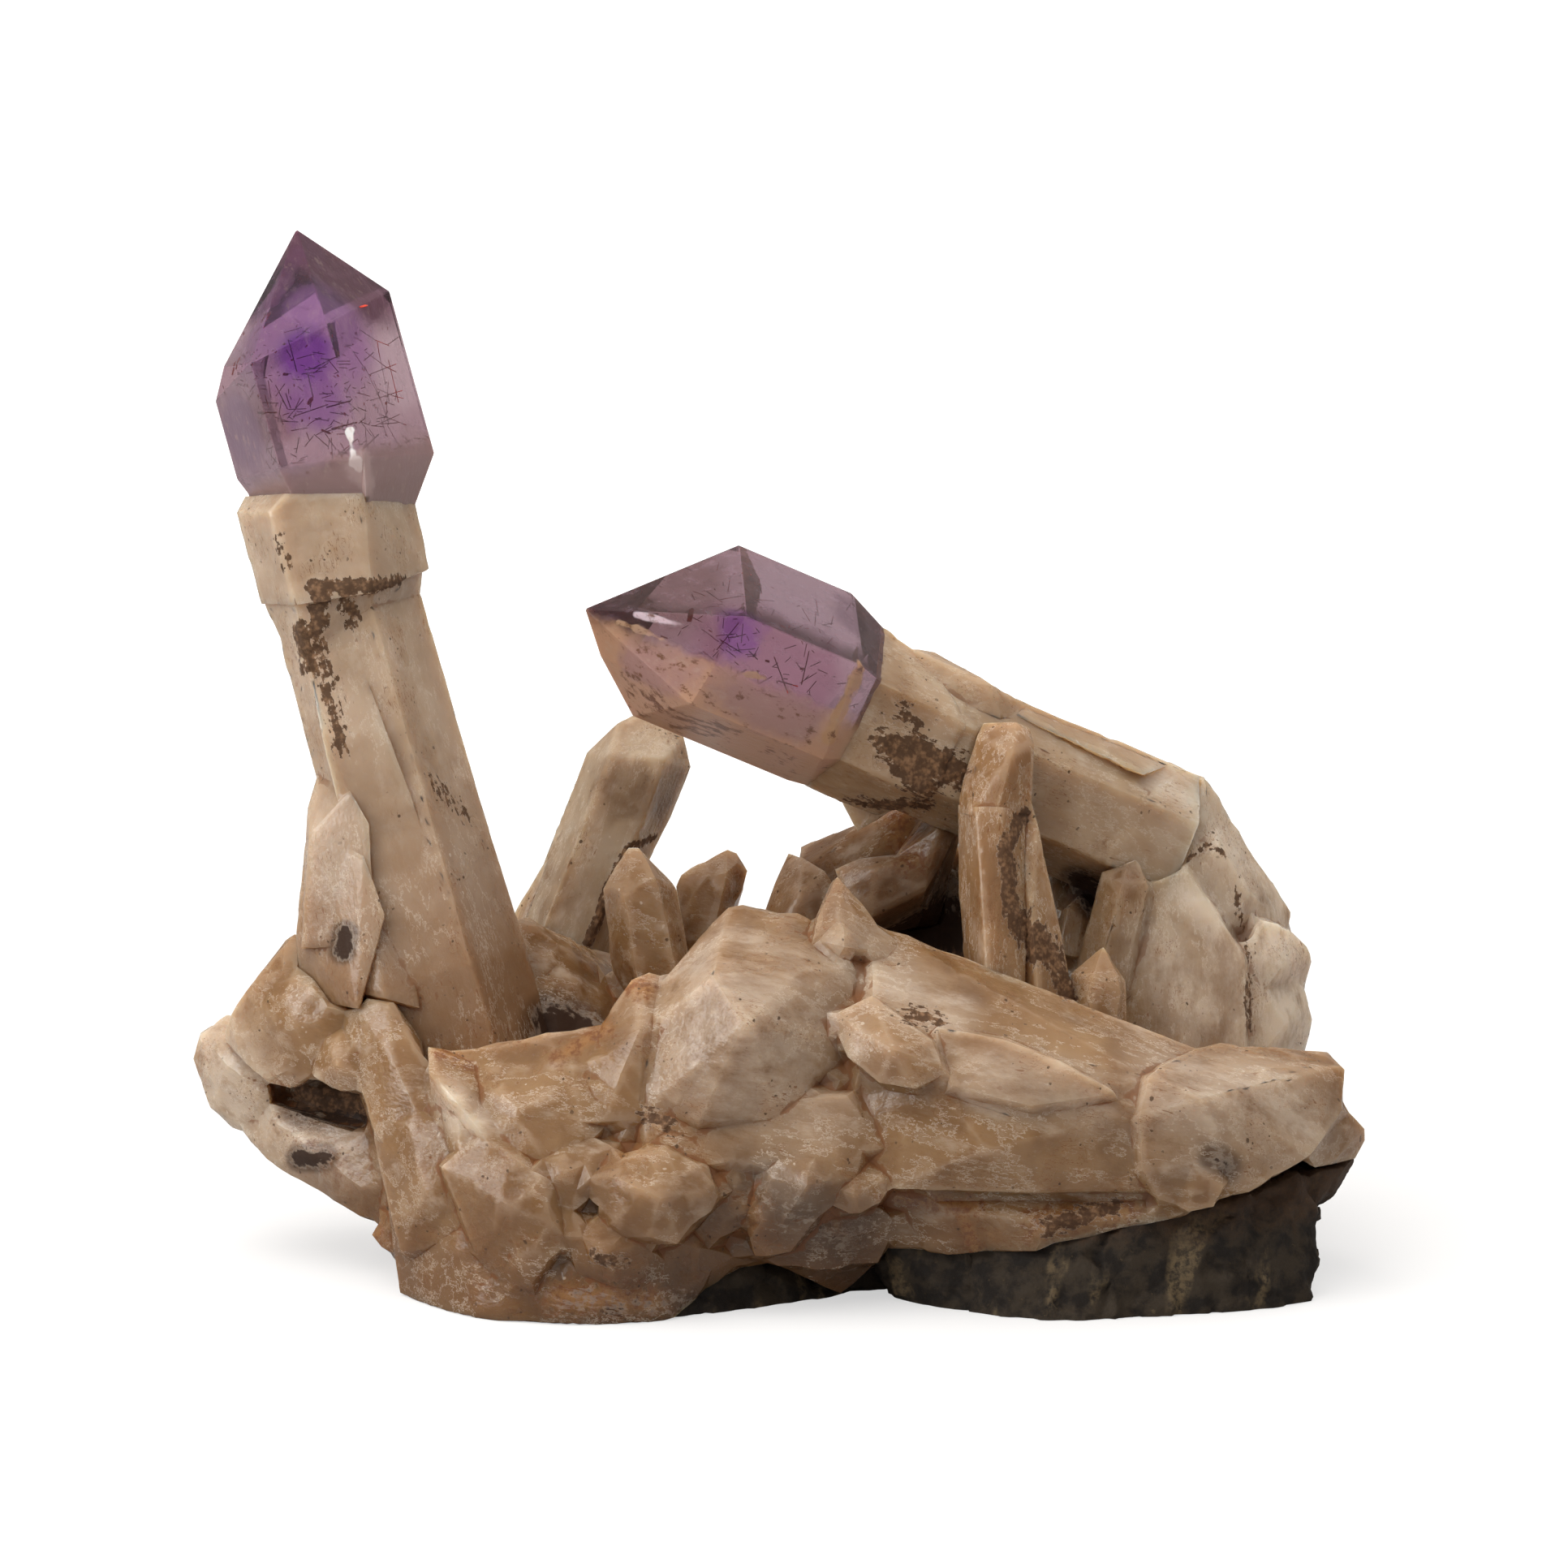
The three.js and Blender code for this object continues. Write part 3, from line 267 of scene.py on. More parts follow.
def new_material(name: str) -> tuple[bpy.types.Material, Sheet, Wire]:
    """Starts a material.

    Args:
        name: The material's name.

    Returns:
        The material, its sheet, and the place on the piece in millimetres.
    """
    material = bpy.data.materials.new(name)
    material.use_nodes = True
    material.node_tree.nodes.clear()
    sheet = Sheet(material.node_tree)
    return material, sheet, sheet.wire("ShaderNodeTexCoord", None, "Object") / MM


def new_object(name: str, data: bpy.types.ID) -> bpy.types.Object:
    """Puts a mesh, light or camera into the scene.

    Args:
        name: The object's name.
        data: What it shows.

    Returns:
        The new object.
    """
    thing = bpy.data.objects.new(name, data)
    bpy.context.scene.collection.objects.link(thing)
    return thing


@contextmanager
def edited(mesh: bpy.types.Mesh) -> Iterator[bmesh.types.BMesh]:
    """Lends a mesh for editing, and writes the changes back afterwards.

    Args:
        mesh: The mesh.

    Yields:
        Its points and faces.
    """
    work = bmesh.new()
    work.from_mesh(mesh)
    yield work
    work.to_mesh(mesh)
    work.free()


@dataclass(frozen=True)
class PhotoView:
    """The front view in which the specimen was measured, and its link to the frame."""

    tilt: float = math.radians(10.0)
    distance: float = 0.700
    centre: Triple = (0.00091, 0.00314, 0.0465)
    width: float = 0.15456
    sensor: float = 36.0

    def axes(self) -> tuple[Vector, Vector, Vector]:
        """Returns the view's right, up and back directions."""
        sine, cosine = math.sin(self.tilt), math.cos(self.tilt)
        return Vector((1, 0, 0)), Vector((0, sine, cosine)), Vector((0, cosine, -sine))

    def place(self, point: Triple) -> Vector:
        """Gives the place of a point that the front view shows.

        Args:
            point: Millimetres to the right, up and back from the picture's centre.

        Returns:
            The place in the frame, in metres.
        """
        right, up, back = self.axes()
        spread = 1.0 + point[2] * MM / self.distance
        local = (right * point[0] + up * point[1]) * MM * spread + back * point[2] * MM
        return Vector(self.centre) + local

    def measure(self, points: np.ndarray) -> np.ndarray:
        """Turns places into what the front view measures.

        Args:
            points: Places in the frame, in metres, one a row.

        Returns:
            Millimetres to the right, up and back, one row for each place.
        """
        local = (points - np.array(self.centre)) / MM
        turned = local @ np.array([list(axis) for axis in self.axes()]).T
        spread = 1.0 + turned[:, 2] * MM / self.distance
        turned[:, :2] /= spread[:, None]
        return turned


VIEW = PhotoView()


def leaning_axis(lean: float, nod: float = 0.0) -> Triple:
    """Gives a crystal's own direction, from its foot to its tip.

    Args:
        lean: Degrees that it leans to the right in the front view.
        nod: Degrees that it leans towards the viewer.

    Returns:
        A unit vector in the frame.
    """
    right, up, back = VIEW.axes()
    side, rise = math.sin(math.radians(lean)), math.cos(math.radians(lean))
    near = math.radians(nod)
    axis = (right * side + up * rise) * math.cos(near) - back * math.sin(near)
    return tuple(axis)


class Mark(Enum):
    """What lies on the quartz in places, or where shade is painted on it. The value is the name of the mesh
    attribute that holds it.
    """

    CRUST = "crust"
    RUST = "rust"
    SHADE = "shade"
    MILK = "milk"
    SMOOTH = "smooth"


@dataclass(frozen=True)
class Patch:
    """A stain, crust, painted shade or other mark, round a line in the front view: millimetres to the right
    and up.
    """

    mark: Mark
    start: tuple[float, float]
    end: tuple[float, float]
    radius: float
    depth: float
    reach: float = 6.0
    strength: float = 1.0

    def weight(self, seen: np.ndarray) -> np.ndarray:
        """Gives how strongly the patch covers each point.

        Args:
            seen: Points as the front view measures them.

        Returns:
            Values from 0 to the patch's strength.
        """
        start, end = np.array(self.start), np.array(self.end)
        line = end - start
        share = ((seen[:, :2] - start) @ line) / max(float(line @ line), 1e-9)
        nearest = start + np.clip(share, 0.0, 1.0)[:, None] * line
        gap = np.linalg.norm(seen[:, :2] - nearest, axis=1) / self.radius
        deep = np.abs(seen[:, 2] - self.depth) / self.reach
        cover = np.clip(1.0 - 0.5 * gap, 0.0, 1.0) * np.clip(2.0 - 2.0 * deep, 0.0, 1.0)
        return self.strength * cover


def patches(mark: Mark, *rows: tuple[float, ...]) -> tuple[Patch, ...]:
    """Returns patches from rows of: start and end, right and up, then radius, depth, reach and strength."""
    return tuple(Patch(mark, row[:2], row[2:4], *row[4:]) for row in rows)


PATCHES = (
    # Tall stem: dirt under the collar, the run below it, painted shade in a hole, and a smear
    *patches(Mark.CRUST, (-46.6, 19.4, -41.0, 19.6, 0.7, -9), (-41.0, 19.6, -36.4, 20.2, 0.6, -9),
        (-45.6, 19.0, -46.0, 15.6, 0.9, -8), (-43.2, 18.8, -42.4, 15.8, 0.9, -9, 6, 0.75),
        (-47.6, 15.4, -46.6, 11.4, 0.7, -7), (-46.2, 15.0, -43.6, 3.6, 1.2, -8, 6, 0.66),
        (-49.6, 24.6, -49.0, 21.4, 0.7, -8, 6, 0.55), (-34.8, 0.4, -31.4, -3.4, 0.9, -6, 6, 0.58)),
    *patches(Mark.SHADE, (-43.1, -14.8, -43.4, -16.4, 0.9, -8)),
    *patches(Mark.RUST, (-48.6, 14.0, -46.4, 0.0, 1.3, -5, 6, 0.5)),
    # Collar of the leaning sceptre
    *patches(Mark.CRUST, (10.2, 4.0, 13.6, 0.2, 1.5, -7, 8), (12.6, 3.2, 16.4, 1.4, 1.7, -7, 8),
        (6.2, -1.9, 14.2, -2.0, 0.7, -7, 8), (13.0, 5.6, 11.4, 7.2, 1.6, -7, 6, 0.6)),
    *patches(Mark.RUST, (8.8, 12.0, 4.6, 3.8, 0.9, -8, 5)),
    # Pillar seam
    *patches(Mark.CRUST, (23.7, -2.8, 21.7, -6.2, 0.7, -9), (21.7, -6.2, 22.5, -13.0, 0.75, -9),
        (23.0, -13.6, 25.8, -16.6, 1.4, -9), (26.2, -16.8, 28.0, -21.4, 0.9, -9)),
    *patches(Mark.RUST, (23.9, -1.6, 24.2, 1.4, 1.0, -8, 6, 0.7)),
    # Pockets: painted shade inside, then dirt and rust
    *patches(Mark.SHADE, (12.4, -13.2, 17.0, -16.0, 4.4, 12, 9), (29.3, -9.0, 30.6, -11.4, 1.4, 9, 8)),
    *patches(Mark.CRUST, (12.8, -17.6, 17.6, -18.6, 1.6, 10, 10),
        (44.4, -10.0, 45.8, -17.6, 0.4, 4, 8, 0.62), (45.7, -19.0, 45.6, -24.0, 0.5, 3, 8, 0.66),
        (39.8, -7.6, 41.6, -6.0, 0.4, 4, 6, 0.62), (41.6, -6.0, 43.8, -7.2, 0.4, 4, 6, 0.62)),
    *patches(Mark.RUST, (11.4, -3.0, 12.6, -7.4, 2.2, 5, 8)),
    # Lying crystal and hump
    *patches(Mark.CRUST, (12.4, -22.8, 15.2, -23.4, 1.0, -22, 6, 0.7),
        (-13.4, -32.6, -11.2, -33.8, 1.0, -20, 6, 0.75), (26.0, -43.6, 32.6, -41.6, 0.9, -20, 6, 0.8)),
    *patches(Mark.RUST, (9.0, -40.4, 19.2, -41.6, 1.2, -20), (25.0, -43.4, 33.6, -42.0, 1.9, -20),
        (17.6, -42.6, 20.4, -48.6, 1.0, -19)),
    # Painted shade under the lying crystal's end, under the hump and along the foot's bottom
    *patches(Mark.SHADE, (42.4, -36.8, 43.6, -37.6, 1.2, -22, 4, 0.6),
        (-2.0, -41.0, 6.0, -45.0, 4.2, -21, 12, 0.42), (-22.0, -51.0, -9.0, -51.4, 3.0, -22, 12, 0.45)),
    # Foot, rim and lobe
    *patches(Mark.RUST, (-22.2, -27.0, -17.4, -24.2, 1.1, -18), (-15.0, -19.8, -13.6, -20.4, 1.6, -16),
        (-34.0, -26.2, -30.6, -28.0, 0.9, -17), (-22.4, -50.4, -13.0, -51.0, 2.4, -22, 8),
        (-46.6, -36.0, -41.6, -38.6, 2.4, -3, 8, 0.7), (-50.8, -29.4, -47.0, -30.4, 1.4, -4, 7, 0.8),
        (-39.8, -44.2, -38.8, -45.4, 1.0, -10, 6, 0.8)),
    *patches(Mark.CRUST, (-18.6, -46.4, -15.8, -47.2, 0.8, -23, 6, 0.7),
        (-47.4, -30.6, -41.0, -31.4, 1.3, 0, 9)),
    # Painted shade in hollows of the foot and the lobe
    *patches(Mark.SHADE, (-22.8, -23.8, -20.4, -24.6, 2.2, -4, 9),
        (-46.8, -31.0, -42.0, -32.0, 2.2, 0, 9), (-47.6, -36.8, -45.0, -36.8, 0.9, -2, 8)),
    # Back crystal
    *patches(Mark.CRUST, (-12.2, -4.9, -15.4, -6.2, 0.4, 11), (-15.4, -6.2, -16.6, -8.5, 0.4, 11),
        (-16.6, -8.5, -19.3, -15.6, 0.4, 11)),
    *patches(Mark.RUST, (-14.0, 6.2, -11.0, 4.4, 1.6, 11, 6, 0.6)),
    # Faces that no small crystals grow on
    *patches(Mark.SMOOTH, (13.0, -23.5, 38.0, -31.0, 6.0, -22, 12, 2.0),
        (42.0, -31.0, 52.0, -32.5, 3.5, -22, 12, 2.0), (-8.0, -22.0, 0.0, -26.0, 6.5, -20, 12, 2.0),
        (-38.0, -24.0, -35.0, -46.0, 4.0, -20, 12, 2.0), (11.0, -36.5, 34.0, -38.5, 4.0, -22, 12, 2.0),
        (35.0, -17.0, 44.0, -17.0, 6.0, 2, 12, 2.0), (12.0, 6.0, 36.0, -4.0, 8.0, -2, 12, 2.0)),
    # Clean white places
    *patches(Mark.MILK, (37.4, 0.2, 40.0, -1.6, 1.6, 6, 6), (39.6, -10.8, 43.0, -14.0, 1.6, 4, 6),
        (37.0, -16.0, 40.6, -22.0, 2.6, 0, 6, 0.7), (20.0, -28.4, 30.0, -31.0, 2.4, -25, 5, 0.5),
        (-5.0, -20.0, -2.0, -27.0, 7.0, -22, 10, 0.6), (40.0, -30.5, 52.0, -32.0, 4.5, -22, 10, 0.65),
        # The next two rows are white milk and also painted light: the thin right edge of the wall, lit from
        # behind
        (42.0, -4.0, 50.5, -14.0, 3.4, 6, 14, 0.9), (49.0, -13.0, 51.5, -26.0, 5.0, 5, 16, 1.2),
        (-57.0, -25.0, -54.0, -32.0, 3.6, 0, 16, 0.8), (-50.0, -32.5, -44.0, -38.0, 2.4, -2, 10, 0.9),
        (6.0, -17.0, 16.0, -23.0, 2.2, -20, 8, 0.6), (-33.0, -31.0, -31.0, -33.6, 1.3, -21, 6),
        (-45.6, -3.2, -44.8, -9.0, 1.6, -8, 6, 0.7), (-1.8, -39.0, 2.4, -43.4, 1.8, -24, 5, 0.7)),
    *patches(Mark.RUST, (6.0, 0.0, 9.5, 8.0, 2.4, -9, 8, 0.45)),
)


def write_marks(mesh: bpy.types.Mesh) -> None:
    """Writes each kind of patch to an attribute of the mesh.

    Args:
        mesh: A dense mesh in the frame.
    """
    flat = np.empty(len(mesh.vertices) * 3)
    mesh.vertices.foreach_get("co", flat)
    seen = VIEW.measure(flat.reshape(-1, 3))
    for mark in Mark:
        weights = [patch.weight(seen) for patch in PATCHES if patch.mark is mark]
        layer = mesh.attributes.get(mark.value) or mesh.attributes.new(mark.value, "FLOAT", "POINT")
        layer.data.foreach_set("value", np.max(weights, axis=0).astype(np.float32))


def merged_copy(node: str, name: str) -> bpy.types.Object:
    """Copies the mesh of a CAD node into a new object with its points merged.

    Args:
        node: The node's name.
        name: The new object's name.

    Returns:
        The new object, in the scene.
    """
    mesh = bpy.data.meshes.new(name)
    with edited(mesh) as work:
        work.from_mesh(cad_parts[node].data)
        bmesh.ops.remove_doubles(work, verts=work.verts, dist=1e-6)
    return new_object(name, mesh)


def settle(piece: bpy.types.Object) -> None:
    """Applies an object's modifiers to its mesh and removes them.

    Args:
        piece: The object.
    """
    evaluated = piece.evaluated_get(bpy.context.evaluated_depsgraph_get())
    mesh = bpy.data.meshes.new_from_object(evaluated)
    piece.modifiers.clear()
    spent = piece.data
    piece.data = mesh
    mesh.name = piece.name
    bpy.data.meshes.remove(spent)


class GeometryTree:
    """A Geometry Nodes tree. Each kind has its named inputs, by socket type, and writes its own nodes."""

    NAME: ClassVar[str]
    INPUTS: ClassVar[dict[str, Sequence[str]]]

    def __init__(self) -> None:
        """Makes the tree's sockets and writes its nodes."""
        self.tree = bpy.data.node_groups.new(self.NAME, "GeometryNodeTree")
        sockets = self.tree.interface
        sockets.new_socket("Geometry", in_out="INPUT", socket_type="NodeSocketGeometry")
        sockets.new_socket("Geometry", in_out="OUTPUT", socket_type="NodeSocketGeometry")
        for kind, names in self.INPUTS.items():
            for name in names:
                sockets.new_socket(name, in_out="INPUT", socket_type=f"NodeSocket{kind}")
        self.sheet = Sheet(self.tree)
        self.given = self.sheet.node("NodeGroupInput")
        self.sheet.node("NodeGroupOutput", {"Geometry": self.write()})

    def write(self) -> Wire:
        """Writes the nodes and returns the finished geometry."""
        raise NotImplementedError

    def input(self, name: str) -> Wire:
        """Returns the wire of one named input."""
        return self.sheet.out(self.given, name)

    def position(self) -> Wire:
        """Returns the place of each point, in metres."""
        return self.sheet.wire("GeometryNodeInputPosition")

    def normal(self) -> Wire:
        """Returns the surface's outward direction."""
        return self.sheet.wire("GeometryNodeInputNormal")

    def mark(self, mark: Mark) -> Wire:
        """Returns the mesh attribute of one kind of patch."""
        kind = "GeometryNodeInputNamedAttribute"
        return self.sheet.wire(kind, {"Name": mark.value}, "Attribute", data_type="FLOAT")

    def moved(self, **inputs: Wire) -> Wire:
        """Returns the geometry with its points moved to a Position, or by an Offset."""
        return self.sheet.wire("GeometryNodeSetPosition", inputs)

    def dressed(self, geometry: Wire) -> Wire:
        """Returns the geometry with the tree's own material."""
        inputs = {"Geometry": geometry, "Material": self.input("Material")}
        return self.sheet.wire("GeometryNodeSetMaterial", inputs)

    def put_on(self, piece: bpy.types.Object, values: dict[str, object]) -> None:
        """Adds the tree to an object.

        Args:
            piece: The object.
            values: What each named input gets.
        """
        modifier = piece.modifiers.new(self.NAME, "NODES")
        modifier.node_group = self.tree
        for item in self.tree.interface.items_tree:
            if item.item_type == "SOCKET" and item.in_out == "INPUT" and item.name in values:
                modifier[item.identifier] = values[item.name]


class BreakTree(GeometryTree):
    """The Geometry Nodes that make a surface uneven before it is cut into facets."""

    NAME = "uneven breaks"
    INPUTS = {"Float": ("Depth", "Size"), "Vector": ("Shift",)}
    DETAIL = (2.0, 0.55)
    KEPT_SMOOTH = (0.7, 0.2)

    def write(self) -> Wire:
        """Writes the nodes and returns the uneven surface."""
        sheet = self.sheet
        place = (self.position() / MM + self.input("Shift")) / self.input("Size")
        height = (sheet.noise(place, 1.0, *self.DETAIL) - 0.5) * 2.0 * self.input("Depth")
        rough = height * sheet.ease(self.mark(Mark.SMOOTH), *self.KEPT_SMOOTH)
        return self.moved(Geometry=self.input("Geometry"), Offset=sheet.scaled(self.normal(), rough * MM))


@dataclass(frozen=True)
class Breakage:
    """The flat breaks that cover a rough piece: how many, and how uneven, in millimetres."""

    facets: int
    depth: float = 0.8
    size: float = 3.5
    seed: float = 1.0

    def values(self) -> dict[str, object]:
        """Returns what the tree's named inputs get."""
        shift = (self.seed * 11.0, self.seed * 7.0, self.seed * -5.0)
        return {"Depth": self.depth, "Size": self.size, "Shift": shift}


@dataclass(frozen=True)
class Outgrowth:
    """A small quartz point on a piece, from its foot to its tip.

    Both are places as the front view measures them. width is across the six sides, in millimetres, and
    flatness is how much narrower it is the other way.
    """

    foot: Triple
    tip: Triple
    width: float
    flatness: float = 1.0
    spin: float = 0.0
    SIDES: ClassVar[int] = 6
    FOOT_SHARE: ClassVar[float] = 0.85
    TIP_SHARE: ClassVar[float] = 0.08
    POINT_LENGTH: ClassVar[float] = 0.4
    LEAST_SHOULDER: ClassVar[float] = 0.3

    def add_to(self, work: bmesh.types.BMesh) -> None:
        """Adds the point's closed mesh.

        Args:
            work: The mesh to add it to.
        """
        foot, tip = VIEW.place(self.foot), VIEW.place(self.tip)
        along = tip - foot
        turn = along.to_track_quat("Z", "Y").to_matrix()
        point = self.POINT_LENGTH * self.width * MM
        shoulder = max(along.length - point, self.LEAST_SHOULDER * along.length)
        rings = []
        for height, share in ((0.0, self.FOOT_SHARE), (shoulder, 1.0), (along.length, self.TIP_SHARE)):
            ring = []
            for side in range(self.SIDES):
                angle = math.radians(self.spin) + side * math.tau / self.SIDES
                reach = 0.5 * self.width * MM * share
                local = Vector((math.cos(angle) * reach, math.sin(angle) * reach * self.flatness, height))
                ring.append(work.verts.new(foot + turn @ local))
            rings.append(ring)
        for low, high in zip(rings, rings[1:]):
            for side in range(self.SIDES):
                after = (side + 1) % self.SIDES
                work.faces.new((low[side], low[after], high[after], high[side]))
        work.faces.new(reversed(rings[0]))
        work.faces.new(rings[-1])


RELIEFS = ("Facet", "Chip", "Grain", "Rib")
SKIN_SIZES = ("Swell", *(f"{kind} {size}" for kind in RELIEFS for size in ("Size", "Depth")))


def sizes_of(thing: object, names: Iterable[str], unit: float = 1.0) -> dict[str, float]:
    """Returns the fields of a thing that belong to a tree's named inputs, in the tree's unit."""
    return {name: getattr(thing, name.lower().replace(" ", "_")) * unit for name in names}


@dataclass(frozen=True)
class Skin:
    """How the surface of one crystal or lump breaks, in millimetres.

    A facet is a flat break, a chip a small one, a rib a ridge along the crystal, and grain the finest relief.
    A plain crystal keeps its sharp edges and gets points spacing apart. A rough lump is remeshed with voxels,
    and closing fills the gaps between its crystals. An edge bent by more than crease degrees looks sharp.
    """

    spacing: float = 0.55
    voxel: float = 0.0
    closing: float = 0.0
    swell: float = 0.17
    facet_size: float = 5.0
    facet_depth: float = 0.3
    chip_size: float = 1.8
    chip_depth: float = 0.12
    grain_size: float = 0.9
    grain_depth: float = 0.03
    rib_size: float = 1.2
    rib_depth: float = 0.0
    axis: Triple = (0.0, 0.0, 1.0)
    triangles: int = 190_000
    crease: float = 24.0
    seed: float = 1.0

    def values(self, finish: bpy.types.Material) -> dict[str, object]:
        """Returns what the tree's named inputs get."""
        shift = (self.seed * 17.3, self.seed * -9.1, self.seed * 5.7)
        return {**sizes_of(self, SKIN_SIZES), "Axis": self.axis, "Shift": shift, "Material": finish}


class SkinTree(GeometryTree):
    """The Geometry Nodes that break up a crystal's plain faces. All quartz and rock pieces share them."""

    NAME = "crystal skin"
    INPUTS = {"Float": SKIN_SIZES, "Vector": ("Axis", "Shift"), "Material": ("Material",)}
    RIB_STRETCH = 16.0
    WARP_SIZE = 4.0
    WARP = 0.35
    BREAK_SOFTNESS = 0.12
    CHIPPED_SIZE = 7.0
    CHIPPED = (0.42, 0.62)
    RIB_DETAIL = (3.0, 0.5)
    GRAIN_DETAIL = (5.0, 0.6)
    CRUST_RISE = 0.35
    CRUST_BORDER = (0.5, 0.8)
    CRUST_FRAY = 1.6
    CRUST_GRAIN = 0.55
    FINE_BLUR = 4
    BROAD_BLUR = 70

    def breaks(self, place: Wire, kind: str) -> Wire:
        """Gives flat breaks, each tilted its own way.

        Args:
            place: Where the pattern is read, in millimetres.
            kind: Facet or Chip.

        Returns:
            The height, in millimetres.
        """
        sheet = self.sheet
        spot = place / self.input(f"{kind} Size")
        cell = sheet.cells(spot, 1.0, self.BREAK_SOFTNESS)
        tilt = sheet.out(cell, "Color") * 2.0 - WHITE
        return sheet.dot(spot - sheet.out(cell, "Position"), tilt) * self.input(f"{kind} Depth")

    def uneven(self, place: Wire, kind: str, detail: float, roughness: float) -> Wire:
        """Gives a cloudy relief.

        Args:
            place: Where the pattern is read, in millimetres.
            kind: Rib or Grain.
            detail: How many finer layers it has.
            roughness: How strong the finer layers are.

        Returns:
            The height, in millimetres.
        """
        pattern = self.sheet.noise(place / self.input(f"{kind} Size"), 1.0, detail, roughness)
        return (pattern - 0.5) * 2.0 * self.input(f"{kind} Depth")

    def relief(self, place: Wire) -> Wire:
        """Gives the whole height of the surface over the plain crystal.

        Args:
            place: Where the patterns are read, in millimetres.

        Returns:
            The height, in millimetres.
        """
        sheet = self.sheet
        warped = place + sheet.swirl(place, self.WARP_SIZE) * self.WARP * self.WARP_SIZE
        chipped = sheet.ease(sheet.noise(place, self.CHIPPED_SIZE, 2.0), *self.CHIPPED)
        height = self.breaks(warped, "Facet") + self.breaks(warped, "Chip") * chipped
        pressed = sheet.stretched(place, self.input("Axis"), self.RIB_STRETCH)
        height = height + self.uneven(pressed, "Rib", *self.RIB_DETAIL)
        return height + self.uneven(place, "Grain", *self.GRAIN_DETAIL) + self.input("Swell")

    def crust(self, place: Wire) -> Wire:
        """Gives the height of the grains of dirt that stand on the quartz.

        Args:
            place: Where the patterns are read, in millimetres.

        Returns:
            The height, in millimetres.
        """
        sheet = self.sheet
        border = (sheet.noise(place, 0.9, 4.0, 0.65) - 0.5) * self.CRUST_FRAY
        ragged = sheet.ease(self.mark(Mark.CRUST) + border, *self.CRUST_BORDER)
        return ragged * (1.0 - sheet.out(sheet.cells(place, self.CRUST_GRAIN), "Distance")) * self.CRUST_RISE

    def hollow(self, rounds: int) -> Wire:
        """Gives how far the surface lies below its surroundings.

        Args:
            rounds: How often the surroundings are averaged.

        Returns:
            The depth, in millimetres. It is negative on an edge.
        """
        place = self.position()
        inputs = {"Value": place, "Iterations": rounds}
        around = self.sheet.wire("GeometryNodeBlurAttribute", inputs, "Value", data_type="FLOAT_VECTOR")
        return self.sheet.dot(around - place, self.normal()) / MM

    def levelled(self, geometry: Wire) -> Wire:
        """Returns the geometry with nothing below the floor.

        Args:
            geometry: The broken surface.

        Returns:
            The geometry.
        """
        sheet = self.sheet
        split = sheet.node("ShaderNodeSeparateXYZ", {0: self.position()})
        level = {name: sheet.out(split, name) for name in "XY"}
        level["Z"] = sheet.greater(sheet.out(split, "Z"), 0.0)
        return self.moved(Geometry=geometry, Position=sheet.wire("ShaderNodeCombineXYZ", level))

    def write(self) -> Wire:
        """Writes the nodes and returns the finished surface, with what its material reads at each point."""
        sheet = self.sheet
        place = self.position() / MM + self.input("Shift")
        offset = sheet.scaled(self.normal(), (self.relief(place) + self.crust(place)) * MM)
        kept = self.levelled(self.moved(Geometry=self.input("Geometry"), Offset=offset))
        grown = sheet.cells(place + sheet.swirl(place, 5.0) * 4.0, 6.5, 0.25)
        stored = {
            "hollow": self.hollow(self.FINE_BLUR),
            "valley": self.hollow(self.BROAD_BLUR),
            "clouds": sheet.noise(place + sheet.swirl(place, 7.0) * 5.0, 8.0, 5.0, 0.58),
            "blots": sheet.noise(place, 5.5, 5.0, 0.62),
            "grown": sheet.dot(sheet.out(grown, "Color"), (0.33, 0.33, 0.33)),
        }
        for name, value in stored.items():
            inputs = {"Geometry": kept, "Name": name, "Value": value}
            kept = sheet.wire("GeometryNodeStoreNamedAttribute", inputs, data_type="FLOAT", domain="POINT")
        return self.dressed(kept)


SKIN_TREE = SkinTree()
BREAK_TREE = BreakTree()


@dataclass(frozen=True)
class Ground:
    """What a quartz finish is painted on: its sheet, the place in millimetres, and the crystal's axis."""

    sheet: Sheet
    place: Wire
    axis: Triple

    def layer(self, name: str) -> Wire:
        """Returns a value that the mesh holds."""
        return self.sheet.wire("ShaderNodeAttribute", None, "Fac", attribute_name=name)

    def fine(self) -> Wire:
        """Returns the fine clouds that fray the borders of stains."""
        return self.sheet.noise(self.place, 0.8, 4.0, 0.65)

    def along(self, ratio: float, size: float, detail: float, roughness: float = 0.5) -> Wire:
        """Returns clouds that are drawn out ratio times along the crystal."""
        return self.sheet.noise(self.sheet.stretched(self.place, self.axis, ratio), size, detail, roughness)

    def wisps(self) -> Wire:
        """Returns the silky wisps in the quartz."""
        return self.along(2.5, 2.6, 7.0, 0.72)


